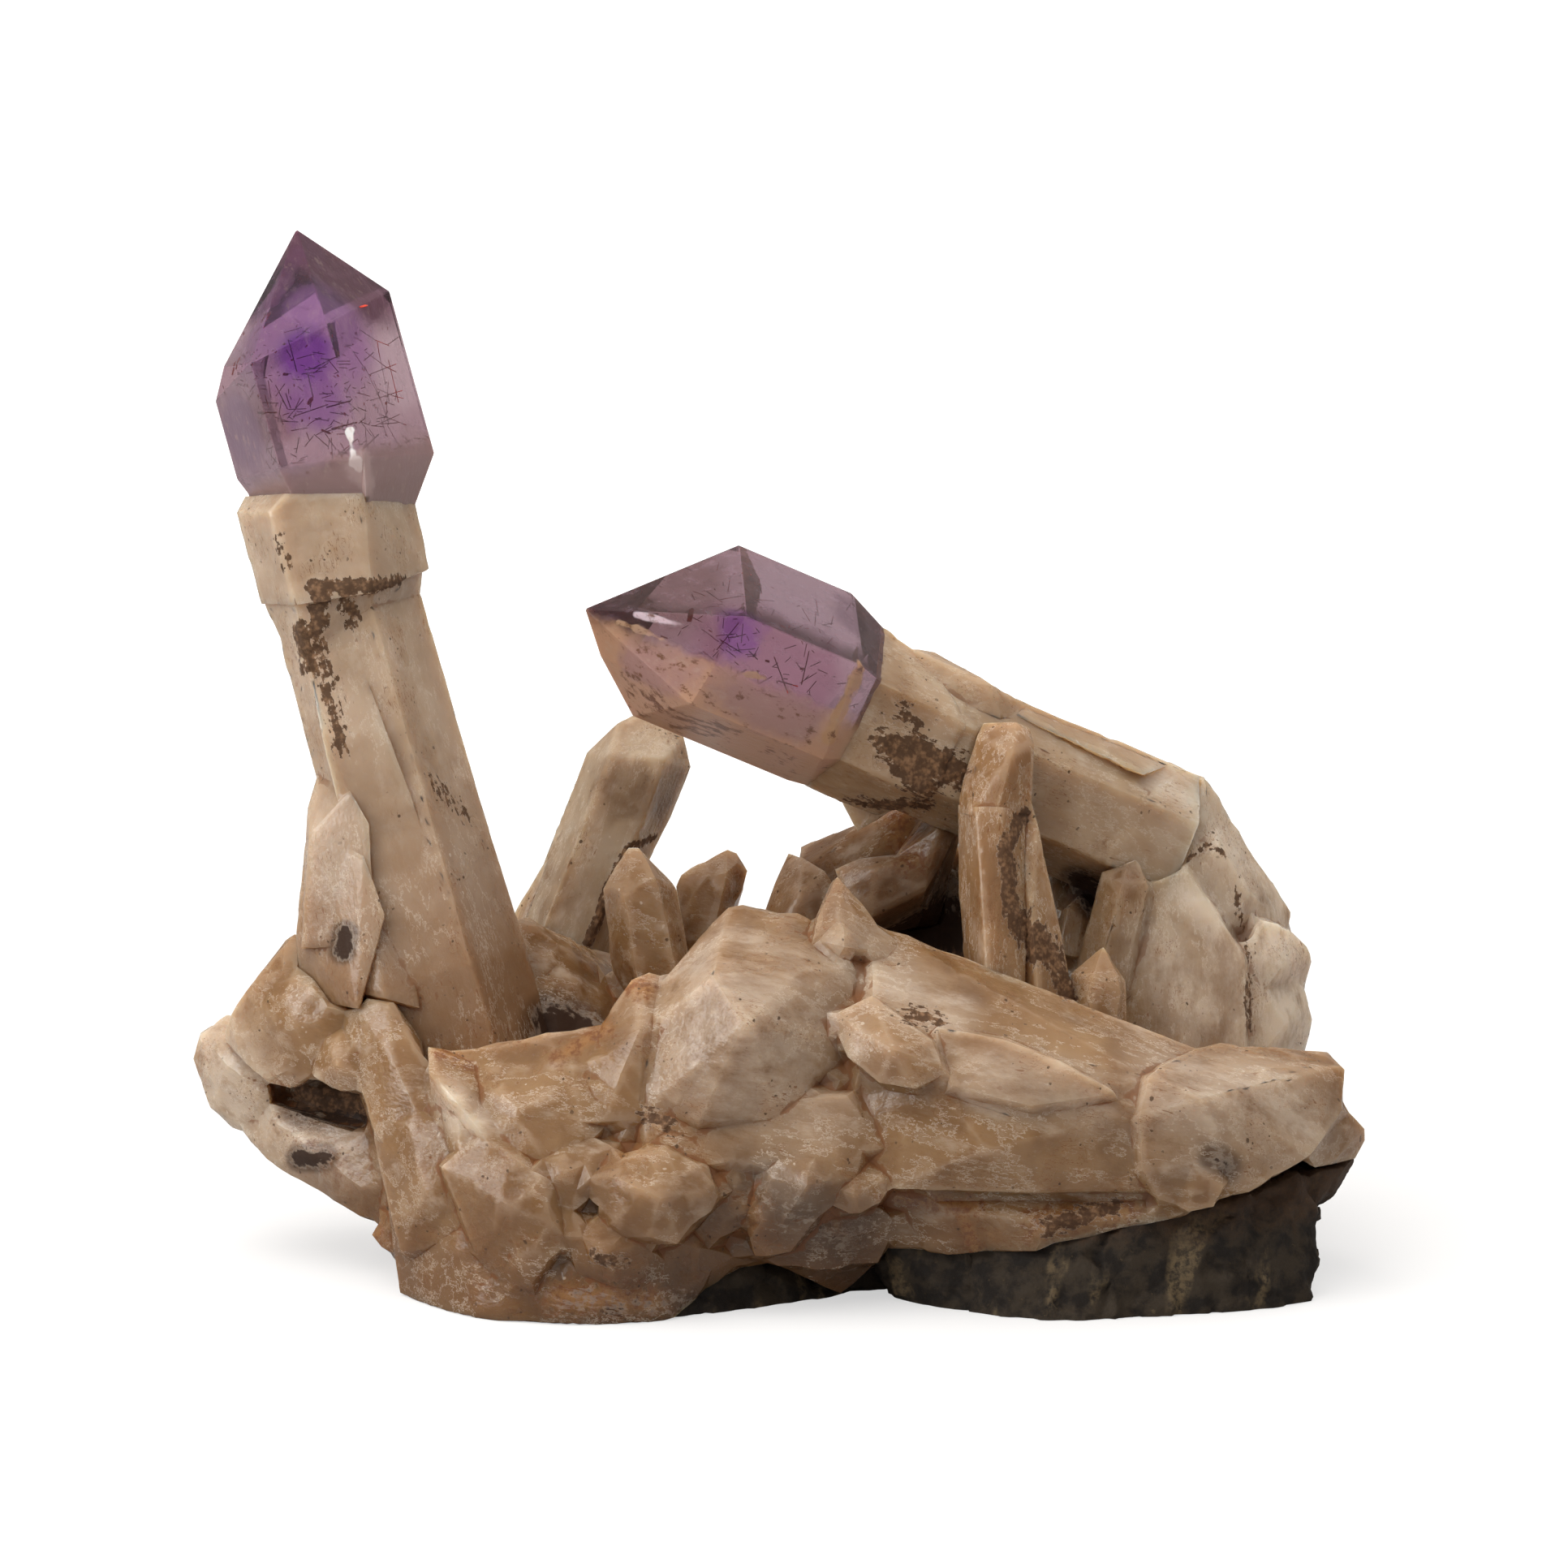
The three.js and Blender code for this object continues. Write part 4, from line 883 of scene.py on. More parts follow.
@dataclass(frozen=True)
class Quartz:
    """The finish of milky, smoky or stained quartz. Colours are linear."""

    name: str
    body: Triple = (0.25, 0.134, 0.055)
    pale: Triple = (0.355, 0.220, 0.110)
    deep: Triple = (0.155, 0.074, 0.028)
    tan: Triple = (0.34, 0.165, 0.055)
    rust: Triple = (0.17, 0.055, 0.014)
    dirt: Triple = (0.05, 0.022, 0.009)
    # Painted shade: the dark cores of pockets and holes
    dark: Triple = (0.030, 0.012, 0.005)
    soil: Triple = (0.075, 0.034, 0.014)
    grit: Triple = (0.24, 0.125, 0.06)
    white: Triple = (0.62, 0.51, 0.40)
    # The amber tint low down, which also paints shade there
    amber_and_shade: Triple = (0.17, 0.078, 0.026)
    # Painted shade that spreads round pockets and holes
    pocket_shade: Triple = (0.085, 0.040, 0.016)
    low_height: float = 12.0
    stain: float = 0.5
    specks: float = 0.65
    axis: Triple = (0.0, 0.0, 1.0)
    silk: float = 0.45
    # How strongly the white veins and the painted glints show
    veil: float = 0.55
    roughness: float = 0.23
    glow: float = 0.9
    GLOW_RADIUS: ClassVar[Triple] = (1.0, 0.75, 0.52)
    GLOW_DEPTH: ClassVar[float] = 0.006
    ROUGHNESS_CHANGE: ClassVar[Limits] = (-0.14, 0.18)
    SOIL_ROUGHNESS: ClassVar[float] = 0.8
    BUMP: ClassVar[Limits] = (0.5, 0.14)
    BODY_TONES: ClassVar[Limits] = (0.22, 0.60)
    PALE_TONES: ClassVar[Limits] = (0.42, 0.80)
    VEILS: ClassVar[Limits] = (0.5, 0.68)
    CLEAN: ClassVar[Limits] = (0.58, 0.42)
    MILKY: ClassVar[Limits] = (0.35, 0.8)
    DEEP_WISPS: ClassVar[Limits] = (0.42, 0.28)
    # Where edges get a painted highlight
    EDGE_HIGHLIGHTS: ClassVar[Limits] = (-0.03, -0.12)
    # Where broad hollows get painted shade
    VALLEY_SHADE: ClassVar[Limits] = (0.1, 1.2)
    # Where painted shade spreads round pockets
    SHADE_MASK: ClassVar[Limits] = (0.04, 0.42)
    RUSTED: ClassVar[Limits] = (0.4, 0.95)
    SHADED: ClassVar[Limits] = (0.36, 0.66)
    CRUSTED: ClassVar[Limits] = (0.40, 0.54)

    def material(self) -> bpy.types.Material:
        """Builds the material.

        Returns:
            The new material.
        """
        material, sheet, place = new_material(self.name)
        ground = Ground(sheet, place, self.axis)
        shader = self.surface(ground, self.stained(ground, self.body_colour(ground)), *self.soil_glints_and_shade(ground))
        sheet.node("ShaderNodeOutputMaterial", {"Surface": shader})
        return material

    def body_colour(self, ground: Ground) -> Wire:
        """Gives the clean quartz's colour: clouds, veils, painted edge highlights, and painted shade in
        hollows, round pockets and, with an amber tint, low down.

        Args:
            ground: What the quartz is painted on.

        Returns:
            The colour.
        """
        sheet, wisps, clouds = ground.sheet, ground.wisps(), ground.layer("clouds")
        tone = clouds * 0.75 + ground.layer("grown") * 0.25
        height = sheet.height_of(ground.place) + (clouds - 0.5) * 12.0
        shade_mask = ground.layer(Mark.SHADE.value) + (wisps - 0.5) * 0.2
        veils = sheet.ease(wisps, *self.VEILS) * sheet.ease(ground.layer("blots"), *self.CLEAN)
        milk = ground.layer(Mark.MILK.value) * sheet.ease(wisps + clouds * 0.4, *self.MILKY)
        return sheet.layered(
            self.deep,
            (sheet.ease(tone, *self.BODY_TONES), self.body),
            (sheet.ease(tone, *self.PALE_TONES) * 0.7, self.pale),
            (veils * self.silk, self.white),
            (sheet.ease(wisps, *self.DEEP_WISPS) * 0.35, self.deep),
            # Painted highlight: paler along convex edges
            (sheet.ease(ground.layer("hollow"), *self.EDGE_HIGHLIGHTS) * 0.14, self.white),
            (milk, self.white),
            # Painted shade: darker in broad hollows
            (sheet.ease(ground.layer("valley"), *self.VALLEY_SHADE) * 0.6, self.deep),
            # Darker and amber towards the bottom: partly the quartz's amber tint, partly painted shade
            (sheet.ease(height, self.low_height, self.low_height * 0.3) * 0.9, self.amber_and_shade),
            # Painted shade round pockets and holes
            (sheet.ease(shade_mask, *self.SHADE_MASK) * 0.85, self.pocket_shade),
        )

    def stained(self, ground: Ground, colour: Wire) -> Wire:
        """Adds the stains that lie within the quartz, tan and rust.

        Args:
            ground: What the quartz is painted on.
            colour: The clean colour.

        Returns:
            The stained colour.
        """
        sheet, fine = ground.sheet, ground.fine()
        damp = ground.layer("blots") + ground.layer("valley") * 0.1 + fine * 0.2
        wet = sheet.ease(damp, 0.74 - 0.16 * self.stain, 0.88) * (0.7 * (0.35 + self.stain * 0.6))
        rust = sheet.ease(ground.layer(Mark.RUST.value) + (fine - 0.5) * 1.44, *self.RUSTED) * 0.75
        rusty = sheet.blend(sheet.ease(fine, 0.4, 0.62), self.tan, self.rust)
        return sheet.layered(colour, (wet, self.tan), (rust, rusty))

    def soil_glints_and_shade(self, ground: Ground) -> tuple[Wire, Wire]:
        """Gives what lies on the quartz: white veins, painted glints, rusty seams, threads, specks, painted
        shade in pockets and crusts of dirt.

        Args:
            ground: What the quartz is painted on.

        Returns:
            Its colour, and how thickly it covers the quartz.
        """
        sheet, place, fine = ground.sheet, ground.place, ground.fine()
        blot, clouds = ground.layer("blots"), ground.layer("clouds")
        veins = sheet.ease(sheet.gap(ground.wisps(), 0.52), 0.016, 0.0) * sheet.ease(clouds, 0.42, 0.56)
        spots = sheet.out(sheet.cells(place + sheet.swirl(place, 0.8, 0.0) * 0.5, 1.1), "Distance")
        # Painted glints: tiny white spots that stand for specks of light on small facets
        painted_glints = sheet.ease(spots + (fine - 0.5) * 0.6, 0.13, 0.07) * sheet.ease(clouds, 0.50, 0.58)
        hollow = ground.layer("hollow") + (fine - 0.5) * 0.2
        seam = sheet.ease(hollow, 0.06, 0.13) * sheet.ease(blot, 0.40, 0.54) * self.stain
        drawn = ground.along(5.0, 0.5, 3.0, 0.6)
        threads = sheet.ease(sheet.gap(drawn, 0.5), 0.016, 0.004) * sheet.ease(blot, 0.50, 0.62)
        dashes = sheet.greater(sheet.ease(drawn, 0.65, 0.71) * sheet.ease(blot, 0.44, 0.56), threads)
        dots = sheet.ease(spots + (fine - 0.5) * 0.5, 0.15, 0.08) * sheet.ease(blot, 0.46, 0.58)
        border = (fine - 0.5) * 1.1 + (drawn - 0.5) * 1.2
        # Painted shade: crisp dark cores in pockets and holes
        shade = sheet.ease(ground.layer(Mark.SHADE.value) + border * 0.6, *self.SHADED)
        crust = sheet.ease(ground.layer(Mark.CRUST.value) + border, *self.CRUSTED)
        grains = sheet.out(sheet.cells(place, 0.45), "Distance")
        soil = sheet.blend(sheet.ease(fine + grains * 0.25, 0.72, 0.42), self.soil, self.grit)
        colour, cover = self.white, sheet.greater(veins * self.veil, painted_glints * self.veil)
        dashes, dots = dashes * self.specks, dots * self.specks
        thin = ((seam, self.rust, 1.1), (dashes, self.rust, 1.0), (dots, self.dirt, 1.3))
        for share, over, strength in thin:
            colour = sheet.blend(sheet.ease(share, 0.05, 0.2), colour, over)
            cover = sheet.greater(cover, share * strength)
        # Painted shade, then crusts of dirt, laid on top
        for share, over in ((shade, self.dark), (crust, soil)):
            colour = sheet.blend(share, colour, over)
            cover = sheet.greater(cover, share * 0.95)
        return colour, cover

    def surface(self, ground: Ground, colour: Wire, soil: Wire, cover: Wire) -> Wire:
        """Adds the quartz shader, and over it the dull one of what lies on the quartz and of the painted
        glints and shade.

        Args:
            ground: What the quartz is painted on.
            colour: The colour of the quartz.
            soil: The colour of what lies on it, and of the painted glints and painted shade.
            cover: How thickly that covers it.

        Returns:
            The shader.
        """
        sheet = ground.sheet
        lines, pits = ground.along(12.0, 0.35, 1.0), sheet.noise(ground.place, 0.6, 3.0, 0.6)
        bump = sheet.bump(lines * 0.5 + pits, *self.BUMP)
        smooth, rough = (self.roughness + change for change in self.ROUGHNESS_CHANGE)
        quartz = {
            "Base Color": colour,
            "Roughness": sheet.blend(ground.layer("blots"), smooth, rough, "FLOAT"),
            "IOR": QUARTZ_IOR,
            "Normal": bump,
            "Subsurface Weight": self.glow,
            "Subsurface Radius": self.GLOW_RADIUS,
            "Subsurface Scale": self.GLOW_DEPTH,
        }
        dull = {"Base Color": soil, "Roughness": self.SOIL_ROUGHNESS, "Normal": bump}
        inputs = {0: sheet.clamped(cover), 1: sheet.principled(quartz), 2: sheet.principled(dull)}
        return sheet.wire("ShaderNodeMixShader", inputs)


@dataclass(frozen=True)
class HostRock:
    """The finish of the dark slab. Colours are linear."""

    name: str = "host_rock"
    black: Triple = (0.008, 0.0046, 0.0024)
    slate: Triple = (0.033, 0.022, 0.012)
    grey: Triple = (0.13, 0.09, 0.046)
    brown: Triple = (0.11, 0.05, 0.019)
    streak_lean: float = 14.0
    MOTTLED: ClassVar[Limits] = (0.4, 0.58)
    BROWN_HEIGHTS: ClassVar[Limits] = (6.0, 10.5)
    GREY_GRAINS: ClassVar[Limits] = (0.62, 0.75)
    BUMP: ClassVar[Limits] = (0.6, 0.3)
    ROUGHNESS: ClassVar[Limits] = (0.62, 0.98)

    def material(self) -> bpy.types.Material:
        """Builds the material.

        Returns:
            The new material.
        """
        material, sheet, place = new_material(self.name)
        mottle = sheet.noise(place + sheet.swirl(place, 3.0) * 2.0, 3.2, 6.0, 0.65)
        grains = sheet.noise(place, 0.7, 5.0, 0.7)
        upright = sheet.stretched(place, leaning_axis(self.streak_lean), 3.5)
        streaks = sheet.ease(sheet.noise(upright, 3.4, 3.0), 0.57, 0.7) * sheet.ease(grains, 0.35, 0.6)
        near_quartz = sheet.ease(sheet.height_of(place) + (mottle - 0.5) * 9.0, *self.BROWN_HEIGHTS)
        colour = sheet.layered(
            self.black,
            (sheet.ease(mottle, *self.MOTTLED), self.slate),
            (streaks, self.grey),
            (near_quartz * 0.75, sheet.blend(grains, self.black, self.brown)),
            (sheet.ease(grains, *self.GREY_GRAINS) * 0.5, self.grey),
        )
        bump = sheet.bump(grains + mottle, *self.BUMP)
        rough = sheet.blend(grains, *self.ROUGHNESS, "FLOAT")
        shader = sheet.principled({"Base Color": colour, "Roughness": rough, "Normal": bump})
        sheet.node("ShaderNodeOutputMaterial", {"Surface": shader})
        return material


@dataclass(frozen=True)
class Zone:
    """A soft patch of colour in a head, round a point or a line, as the front view measures it."""

    centre: Triple
    radius: float
    colour: Triple
    strength: float = 1.0
    drift: float = 3.0
    end: Optional[Triple] = None
    OUTER: ClassVar[float] = 1.35
    INNER: ClassVar[float] = 0.6

    def share(self, sheet: Sheet, place: Wire, veil: Wire) -> Wire:
        """Gives how strongly the zone colours each point.

        Args:
            sheet: The material's sheet.
            place: The point, in millimetres.
            veil: A cloudy pattern that makes the zone's border uneven.

        Returns:
            Values from 0 to the zone's strength.
        """
        start = VIEW.place(self.centre) / MM
        gap = place - tuple(start)
        if self.end:
            line = VIEW.place(self.end) / MM - start
            share = sheet.clamped(sheet.dot(gap, tuple(line / line.length_squared)))
            gap = gap - sheet.scaled(tuple(line), share)
        away = sheet.length(gap) + (veil - 0.5) * self.drift
        return sheet.ease(away, self.radius * self.OUTER, self.radius * self.INNER) * self.strength


@dataclass(frozen=True)
class Amethyst:
    """The finish of a clear sceptre head that turns milky at one side. Colours are linear.

    zones tint the clear crystal, and clouds are milky. haze is a place on the milky side's border and the
    border's width, and haze_axis points from there into the clear crystal.
    """

    name: str
    zones: Sequence[Zone]
    clouds: Sequence[Zone]
    haze: tuple[Triple, float]
    haze_axis: Triple
    haze_colour: Triple
    axis: Triple
    dirtiness: float = 0.3
    clear: Triple = (0.33, 0.215, 0.235)
    dirt: Triple = (0.16, 0.06, 0.02)
    silk: Triple = (0.44, 0.29, 0.37)
    absorption: Triple = (0.70, 0.52, 0.76)
    density: float = 26.0
    cloudiness: float = 0.22
    haze_tint: float = 0.12
    fleck: Triple = (0.5, 0.36, 0.28)
    dirty: Optional[Zone] = None
    CLEAR_ROUGHNESS: ClassVar[float] = 0.02
    CLEAR_BUMP: ClassVar[Limits] = (0.08, 0.15)
    MILKY_ROUGHNESS: ClassVar[float] = 0.28
    MILKY_BUMP: ClassVar[Limits] = (0.4, 0.2)
    MILKY_GLOW: ClassVar[float] = 0.6
    GLOW_RADIUS: ClassVar[Triple] = (1.0, 0.7, 0.7)
    GLOW_DEPTH: ClassVar[float] = 0.003
    SILKY: ClassVar[Limits] = (0.45, 0.75)
    FLECKED: ClassVar[Limits] = (0.45, 0.3)

    def material(self) -> bpy.types.Material:
        """Builds the material.

        Returns:
            The new material.
        """
        material, sheet, place = new_material(self.name)
        veil = sheet.noise(place, 3.2, 3.0, 0.6)
        tints = [(zone.share(sheet, place, veil), zone.colour) for zone in self.zones]
        tint = sheet.layered(self.clear, *tints)
        start, width = self.haze
        along = sheet.dot(place - tuple(VIEW.place(start) / MM), self.haze_axis) + (veil - 0.5) * 3.0
        cover = sheet.ease(along, width, -width)
        streaks = sheet.noise(sheet.stretched(place, self.axis, 2.5), 1.3, 6.0, 0.7)
        silky = sheet.ease(streaks, *self.SILKY)
        inner = sheet.blend(silky * 0.65, tint, self.silk)
        hazy = sheet.blend(self.haze_tint, self.haze_colour, tint)
        colour = sheet.blend(sheet.ease(cover, 0.7, 0.2), hazy, inner)
        for cloud in self.clouds:
            share = cloud.share(sheet, place, veil)
            colour = sheet.blend(share, colour, cloud.colour)
            cover = sheet.greater(cover, share)
        milky = self.milky(sheet, place, colour, cover)
        share = sheet.greater(cover * 0.9, self.cloudiness * (silky * 0.6 + 0.7))
        inputs = {"Color": self.absorption, "Density": self.density}
        volume = sheet.wire("ShaderNodeVolumeAbsorption", inputs)
        shader = sheet.wire("ShaderNodeMixShader", {0: share, 1: self.glass(sheet, place, tint), 2: milky})
        sheet.node("ShaderNodeOutputMaterial", {"Surface": shader, "Volume": volume})
        return material

    @classmethod
    def glass(cls, sheet: Sheet, place: Wire, tint: Wire) -> Wire:
        """Adds the shader of the clear crystal.

        Args:
            sheet: The material's sheet.
            place: Where the patterns are read, in millimetres.
            tint: The colour of the light that passes.

        Returns:
            The shader.
        """
        inputs = {
            "Base Color": tint,
            "Roughness": cls.CLEAR_ROUGHNESS,
            "IOR": QUARTZ_IOR,
            "Transmission Weight": 1.0,
            "Normal": sheet.bump(sheet.noise(place, 1.8, 2.0), *cls.CLEAR_BUMP),
        }
        return sheet.principled(inputs)

    def milky(self, sheet: Sheet, place: Wire, colour: Wire, cover: Wire) -> Wire:
        """Adds the shader of the milky, stained part.

        Args:
            sheet: The material's sheet.
            place: Where the patterns are read, in millimetres.
            colour: The clean colour.
            cover: How milky the crystal is.

        Returns:
            The shader.
        """
        fine = sheet.noise(sheet.stretched(place, self.axis, 2.0), 0.8, 5.0, 0.7)
        rough = sheet.noise(place, 4.0, 3.0, 0.6)
        soil = fine + (rough - 0.5) * 0.6
        if self.dirty:
            soil = soil + self.dirty.share(sheet, place, rough) * 0.12
        stained = sheet.ease(soil, 0.66 - 0.1 * self.dirtiness, 0.70) * cover * self.dirtiness
        flecked = sheet.ease(fine, *self.FLECKED) * 0.35
        inputs = {
            "Base Color": sheet.layered(colour, (flecked, self.fleck), (stained, self.dirt)),
            "Roughness": self.MILKY_ROUGHNESS,
            "IOR": QUARTZ_IOR,
            "Normal": sheet.bump(fine, *self.MILKY_BUMP),
            "Subsurface Weight": self.MILKY_GLOW,
            "Subsurface Radius": self.GLOW_RADIUS,
            "Subsurface Scale": self.GLOW_DEPTH,
        }
        return sheet.principled(inputs)


@dataclass(frozen=True)
class Inclusion:
    """The finish of what is sealed in a head: needles or flakes."""

    name: str
    colour: Triple
    other: Triple
    roughness: float = 0.3

    def material(self) -> bpy.types.Material:
        """Builds the material.

        Returns:
            The new material.
        """
        material, sheet, place = new_material(self.name)
        share = sheet.ease(sheet.noise(place, 1.5, 2.0), 0.35, 0.65)
        colour = sheet.blend(share, self.colour, self.other)
        shader = sheet.principled({"Base Color": colour, "Roughness": self.roughness})
        sheet.node("ShaderNodeOutputMaterial", {"Surface": shader})
        return material


def finish_piece(piece: bpy.types.Object, node: Optional[str], slot: str) -> None:
    """Attaches a finished piece to the root, hides the CAD node that it replaces, and logs its faces.

    Args:
        piece: The piece.
        node: The CAD node that it replaces, or None.
        slot: Not used.
    """
    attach(piece, ROOT)
    if node:
        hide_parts(node)
    LOG.info("%s: %d faces", piece.name, len(piece.data.polygons))


@dataclass
class Lump:
    """One milky, smoky or rocky node with its natural surface."""

    node: str
    slot: str
    finish: Union[Quartz, HostRock]
    skin: Skin
    breakage: Optional[Breakage] = None
    outgrowths: Sequence[Outgrowth] = ()
    HALVINGS: ClassVar[int] = 7
    LONGEST: ClassVar[float] = 1.5

    def remesh(self, piece: bpy.types.Object) -> None:
        """Gives the piece even faces.

        Args:
            piece: The lump.
        """
        remesh = piece.modifiers.new("even mesh", "REMESH")
        remesh.mode = "VOXEL"
        remesh.voxel_size = self.skin.voxel * MM
        remesh.use_smooth_shade = True

    @staticmethod
    def offset(piece: bpy.types.Object, distance: float) -> None:
        """Moves the surface outwards. Out and back again fills the gaps between crystals.

        Args:
            piece: The lump.
            distance: How far, in millimetres.
        """
        offset = piece.modifiers.new("offset", "DISPLACE")
        offset.mid_level = 0.0
        offset.strength = distance * MM

    @staticmethod
    def thinned(piece: bpy.types.Object, name: str, ratio: float) -> None:
        """Leaves a share of the faces, by a modifier of that name."""
        piece.modifiers.new(name, "DECIMATE").ratio = ratio

    def build(self) -> None:
        """Builds the visual piece that stands for the node."""
        piece = merged_copy(self.node, f"{self.node}_surface")
        with edited(piece.data) as work:
            for outgrowth in self.outgrowths:
                outgrowth.add_to(work)
        if self.breakage:
            self.break_up(piece, self.breakage)
        self.divide(piece)
        write_marks(piece.data)
        finish = self.finish.material()
        piece.data.materials.clear()
        SKIN_TREE.put_on(piece, self.skin.values(finish))
        faces = len(piece.data.polygons)
        if faces > self.skin.triangles:
            self.thinned(piece, "fewer faces", self.skin.triangles / faces)
        settle(piece)
        piece.data.shade_smooth()
        piece.data.set_sharp_from_angle(angle=math.radians(self.skin.crease))
        finish_piece(piece, self.node, self.slot)

    def break_up(self, piece: bpy.types.Object, breakage: Breakage) -> None:
        """Turns a rough lump's surface into flat breaks with sharp edges.

        Args:
            piece: The lump.
            breakage: How it breaks.
        """
        self.remesh(piece)
        for distance in (self.skin.closing, -self.skin.closing):
            self.offset(piece, distance)
            self.remesh(piece)
        settle(piece)
        write_marks(piece.data)
        BREAK_TREE.put_on(piece, breakage.values())
        self.thinned(piece, "facets", breakage.facets / (2 * len(piece.data.polygons)))
        settle(piece)

    def divide(self, piece: bpy.types.Object) -> None:
        """Gives the piece more points without changing its shape.

        Args:
            piece: The piece.
        """
        with edited(piece.data) as work:
            bmesh.ops.triangulate(work, faces=work.faces)
            for _ in range(self.HALVINGS):
                limit = self.skin.spacing * MM * self.LONGEST
                long = [edge for edge in work.edges if edge.calc_length() > limit]
                if not long:
                    break
                bmesh.ops.subdivide_edges(work, edges=long, cuts=1)
                bmesh.ops.triangulate(work, faces=[face for face in work.faces if len(face.verts) > 3])


NEEDLE_SIZES = ("Least Length", "Greatest Length", "Thickness", "Width", "Clearance")


class NeedleTree(GeometryTree):
    """The Geometry Nodes that strew needles or flakes through the inside of a crystal, in metres."""

    NAME = "inclusions"
    INPUTS = {"Float": ("Density", *NEEDLE_SIZES), "Int": ("Seed",), "Material": ("Material",)}
    SIDES = 5
    VOXEL = 0.0006
    BAND = 0.02
    SHORTEST = 0.00015
    ROOM = 2.0
    SKEW = 1.2

    def random(self, low: Operand, high: Operand, turn: int, kind: str = "FLOAT") -> Wire:
        """Returns a random value of each point. turn says which of the tree's random values it is."""
        inputs = {"Min": low, "Max": high, "Seed": self.input("Seed") + turn}
        return self.sheet.wire("FunctionNodeRandomValue", inputs, "Value", data_type=kind)

    def write(self) -> Wire:
        """Writes the nodes and returns the realized needles."""
        sheet, crystal = self.sheet, self.input("Geometry")
        inputs = {"Mesh": crystal, "Voxel Size": self.VOXEL, "Interior Band Width": self.BAND}
        volume = sheet.wire("GeometryNodeMeshToVolume", inputs, resolution_mode="VOXEL_SIZE")
        inputs = {"Volume": volume, "Density": self.input("Density"), "Seed": self.input("Seed")}
        points = sheet.wire("GeometryNodeDistributePointsInVolume", inputs)
        depth = sheet.wire("GeometryNodeProximity", {0: crystal}, "Distance")
        room = (depth - self.input("Clearance")) * self.ROOM
        wanted = self.random(self.input("Least Length"), self.input("Greatest Length"), 1)
        skewed = wanted * self.random(0.0, 1.0, 2) * self.SKEW
        length = sheet.greater(sheet.combine("MINIMUM", skewed, room), self.SHORTEST)
        inputs = {"Vertices": self.SIDES, "Radius": 0.5, "Depth": 1.0}
        rod = sheet.wire("GeometryNodeMeshCylinder", inputs, "Mesh")
        turn = self.random((0.0, 0.0, 0.0), (math.tau, math.tau, math.tau), 3, "FLOAT_VECTOR")
        size = {"X": self.input("Width"), "Y": self.input("Thickness"), "Z": length}
        size = sheet.wire("ShaderNodeCombineXYZ", size)
        inputs = {"Points": points, "Instance": rod, "Rotation": turn, "Scale": size}
        placed = sheet.wire("GeometryNodeInstanceOnPoints", inputs)
        return self.dressed(sheet.wire("GeometryNodeRealizeInstances", {"Geometry": placed}))


NEEDLE_TREE = NeedleTree()


@dataclass(frozen=True)
class Strew:
    """How one kind of inclusion is strewn: lengths in millimetres, density for each cubic centimetre."""

    name: str
    finish: Inclusion
    density: float
    least_length: float
    greatest_length: float
    thickness: float
    width: float
    clearance: float = 0.25
    seed: int = 1

    def values(self) -> dict[str, object]:
        """Returns what the tree's named inputs get."""
        sizes = sizes_of(self, NEEDLE_SIZES, MM)
        return {**sizes, "Density": self.density * 1e6, "Seed": self.seed, "Material": self.finish.material()}


@dataclass(frozen=True)
class Sealed:
    """Single needles or flakes in a head, which the photograph shows one by one."""

    name: str
    finish: Inclusion
    forms: Sequence[Outgrowth]


@dataclass
class SceptreHead:
    """A clear head with what is sealed in it."""

    node: str
    finish: Amethyst
    strews: Sequence[Strew]
    sealed: Sequence[Sealed]
    axis: Triple
    bevel: float = 0.08
    neck_reach: float = 1.2
    SLOT: ClassVar[str] = "amethyst"
    FLAT: ClassVar[float] = math.radians(1.0)
    FACING_DOWN: ClassVar[float] = -0.85

    def body(self) -> None:
        """Builds the crystal with narrow bevels along its edges."""
        piece = merged_copy(self.node, f"{self.node}_crystal")
        with edited(piece.data) as work:
            bmesh.ops.dissolve_limit(work, angle_limit=self.FLAT, verts=work.verts, edges=work.edges)
            sizes = {"offset": self.bevel * MM, "segments": 1, "clamp_overlap": True}
            bmesh.ops.bevel(work, geom=work.edges[:], affect="EDGES", **sizes)
            bmesh.ops.triangulate(work, faces=work.faces)
            bmesh.ops.recalc_face_normals(work, faces=work.faces)
            self.lower_neck(work)
        piece.data.materials.clear()
        piece.data.materials.append(self.finish.material())
        finish_piece(piece, self.node, self.SLOT)

    def lower_neck(self, work: bmesh.types.BMesh) -> None:
        """Moves the crystal's lower end down onto the stem that it grew on.

        Args:
            work: The crystal's mesh.
        """
        axis = Vector(self.axis)
        faces = [face for face in work.faces if face.normal.dot(axis) < self.FACING_DOWN]
        for vertex in {vertex for face in faces for vertex in face.verts}:
            vertex.co -= axis * self.neck_reach * MM

    def single(self, sealed: Sealed) -> None:
        """Builds needles or flakes one by one.

        Args:
            sealed: Their shapes and finish.
        """
        mesh = bpy.data.meshes.new(f"{self.node}_{sealed.name}")
        with edited(mesh) as work:
            for form in sealed.forms:
                form.add_to(work)
        mesh.materials.append(sealed.finish.material())
        finish_piece(new_object(mesh.name, mesh), None, self.SLOT)

    def strewn(self, strew: Strew) -> None:
        """Strews one kind of inclusion inside the crystal.

        Args:
            strew: What is strewn, and how.
        """
        piece = merged_copy(self.node, f"{self.node}_{strew.name}")
        NEEDLE_TREE.put_on(piece, strew.values())
        settle(piece)
        finish_piece(piece, None, self.SLOT)

    def build(self) -> None:
        """Builds the crystal and its inclusions."""
        self.body()
        for strew in self.strews:
            self.strewn(strew)
        for sealed in self.sealed:
            self.single(sealed)


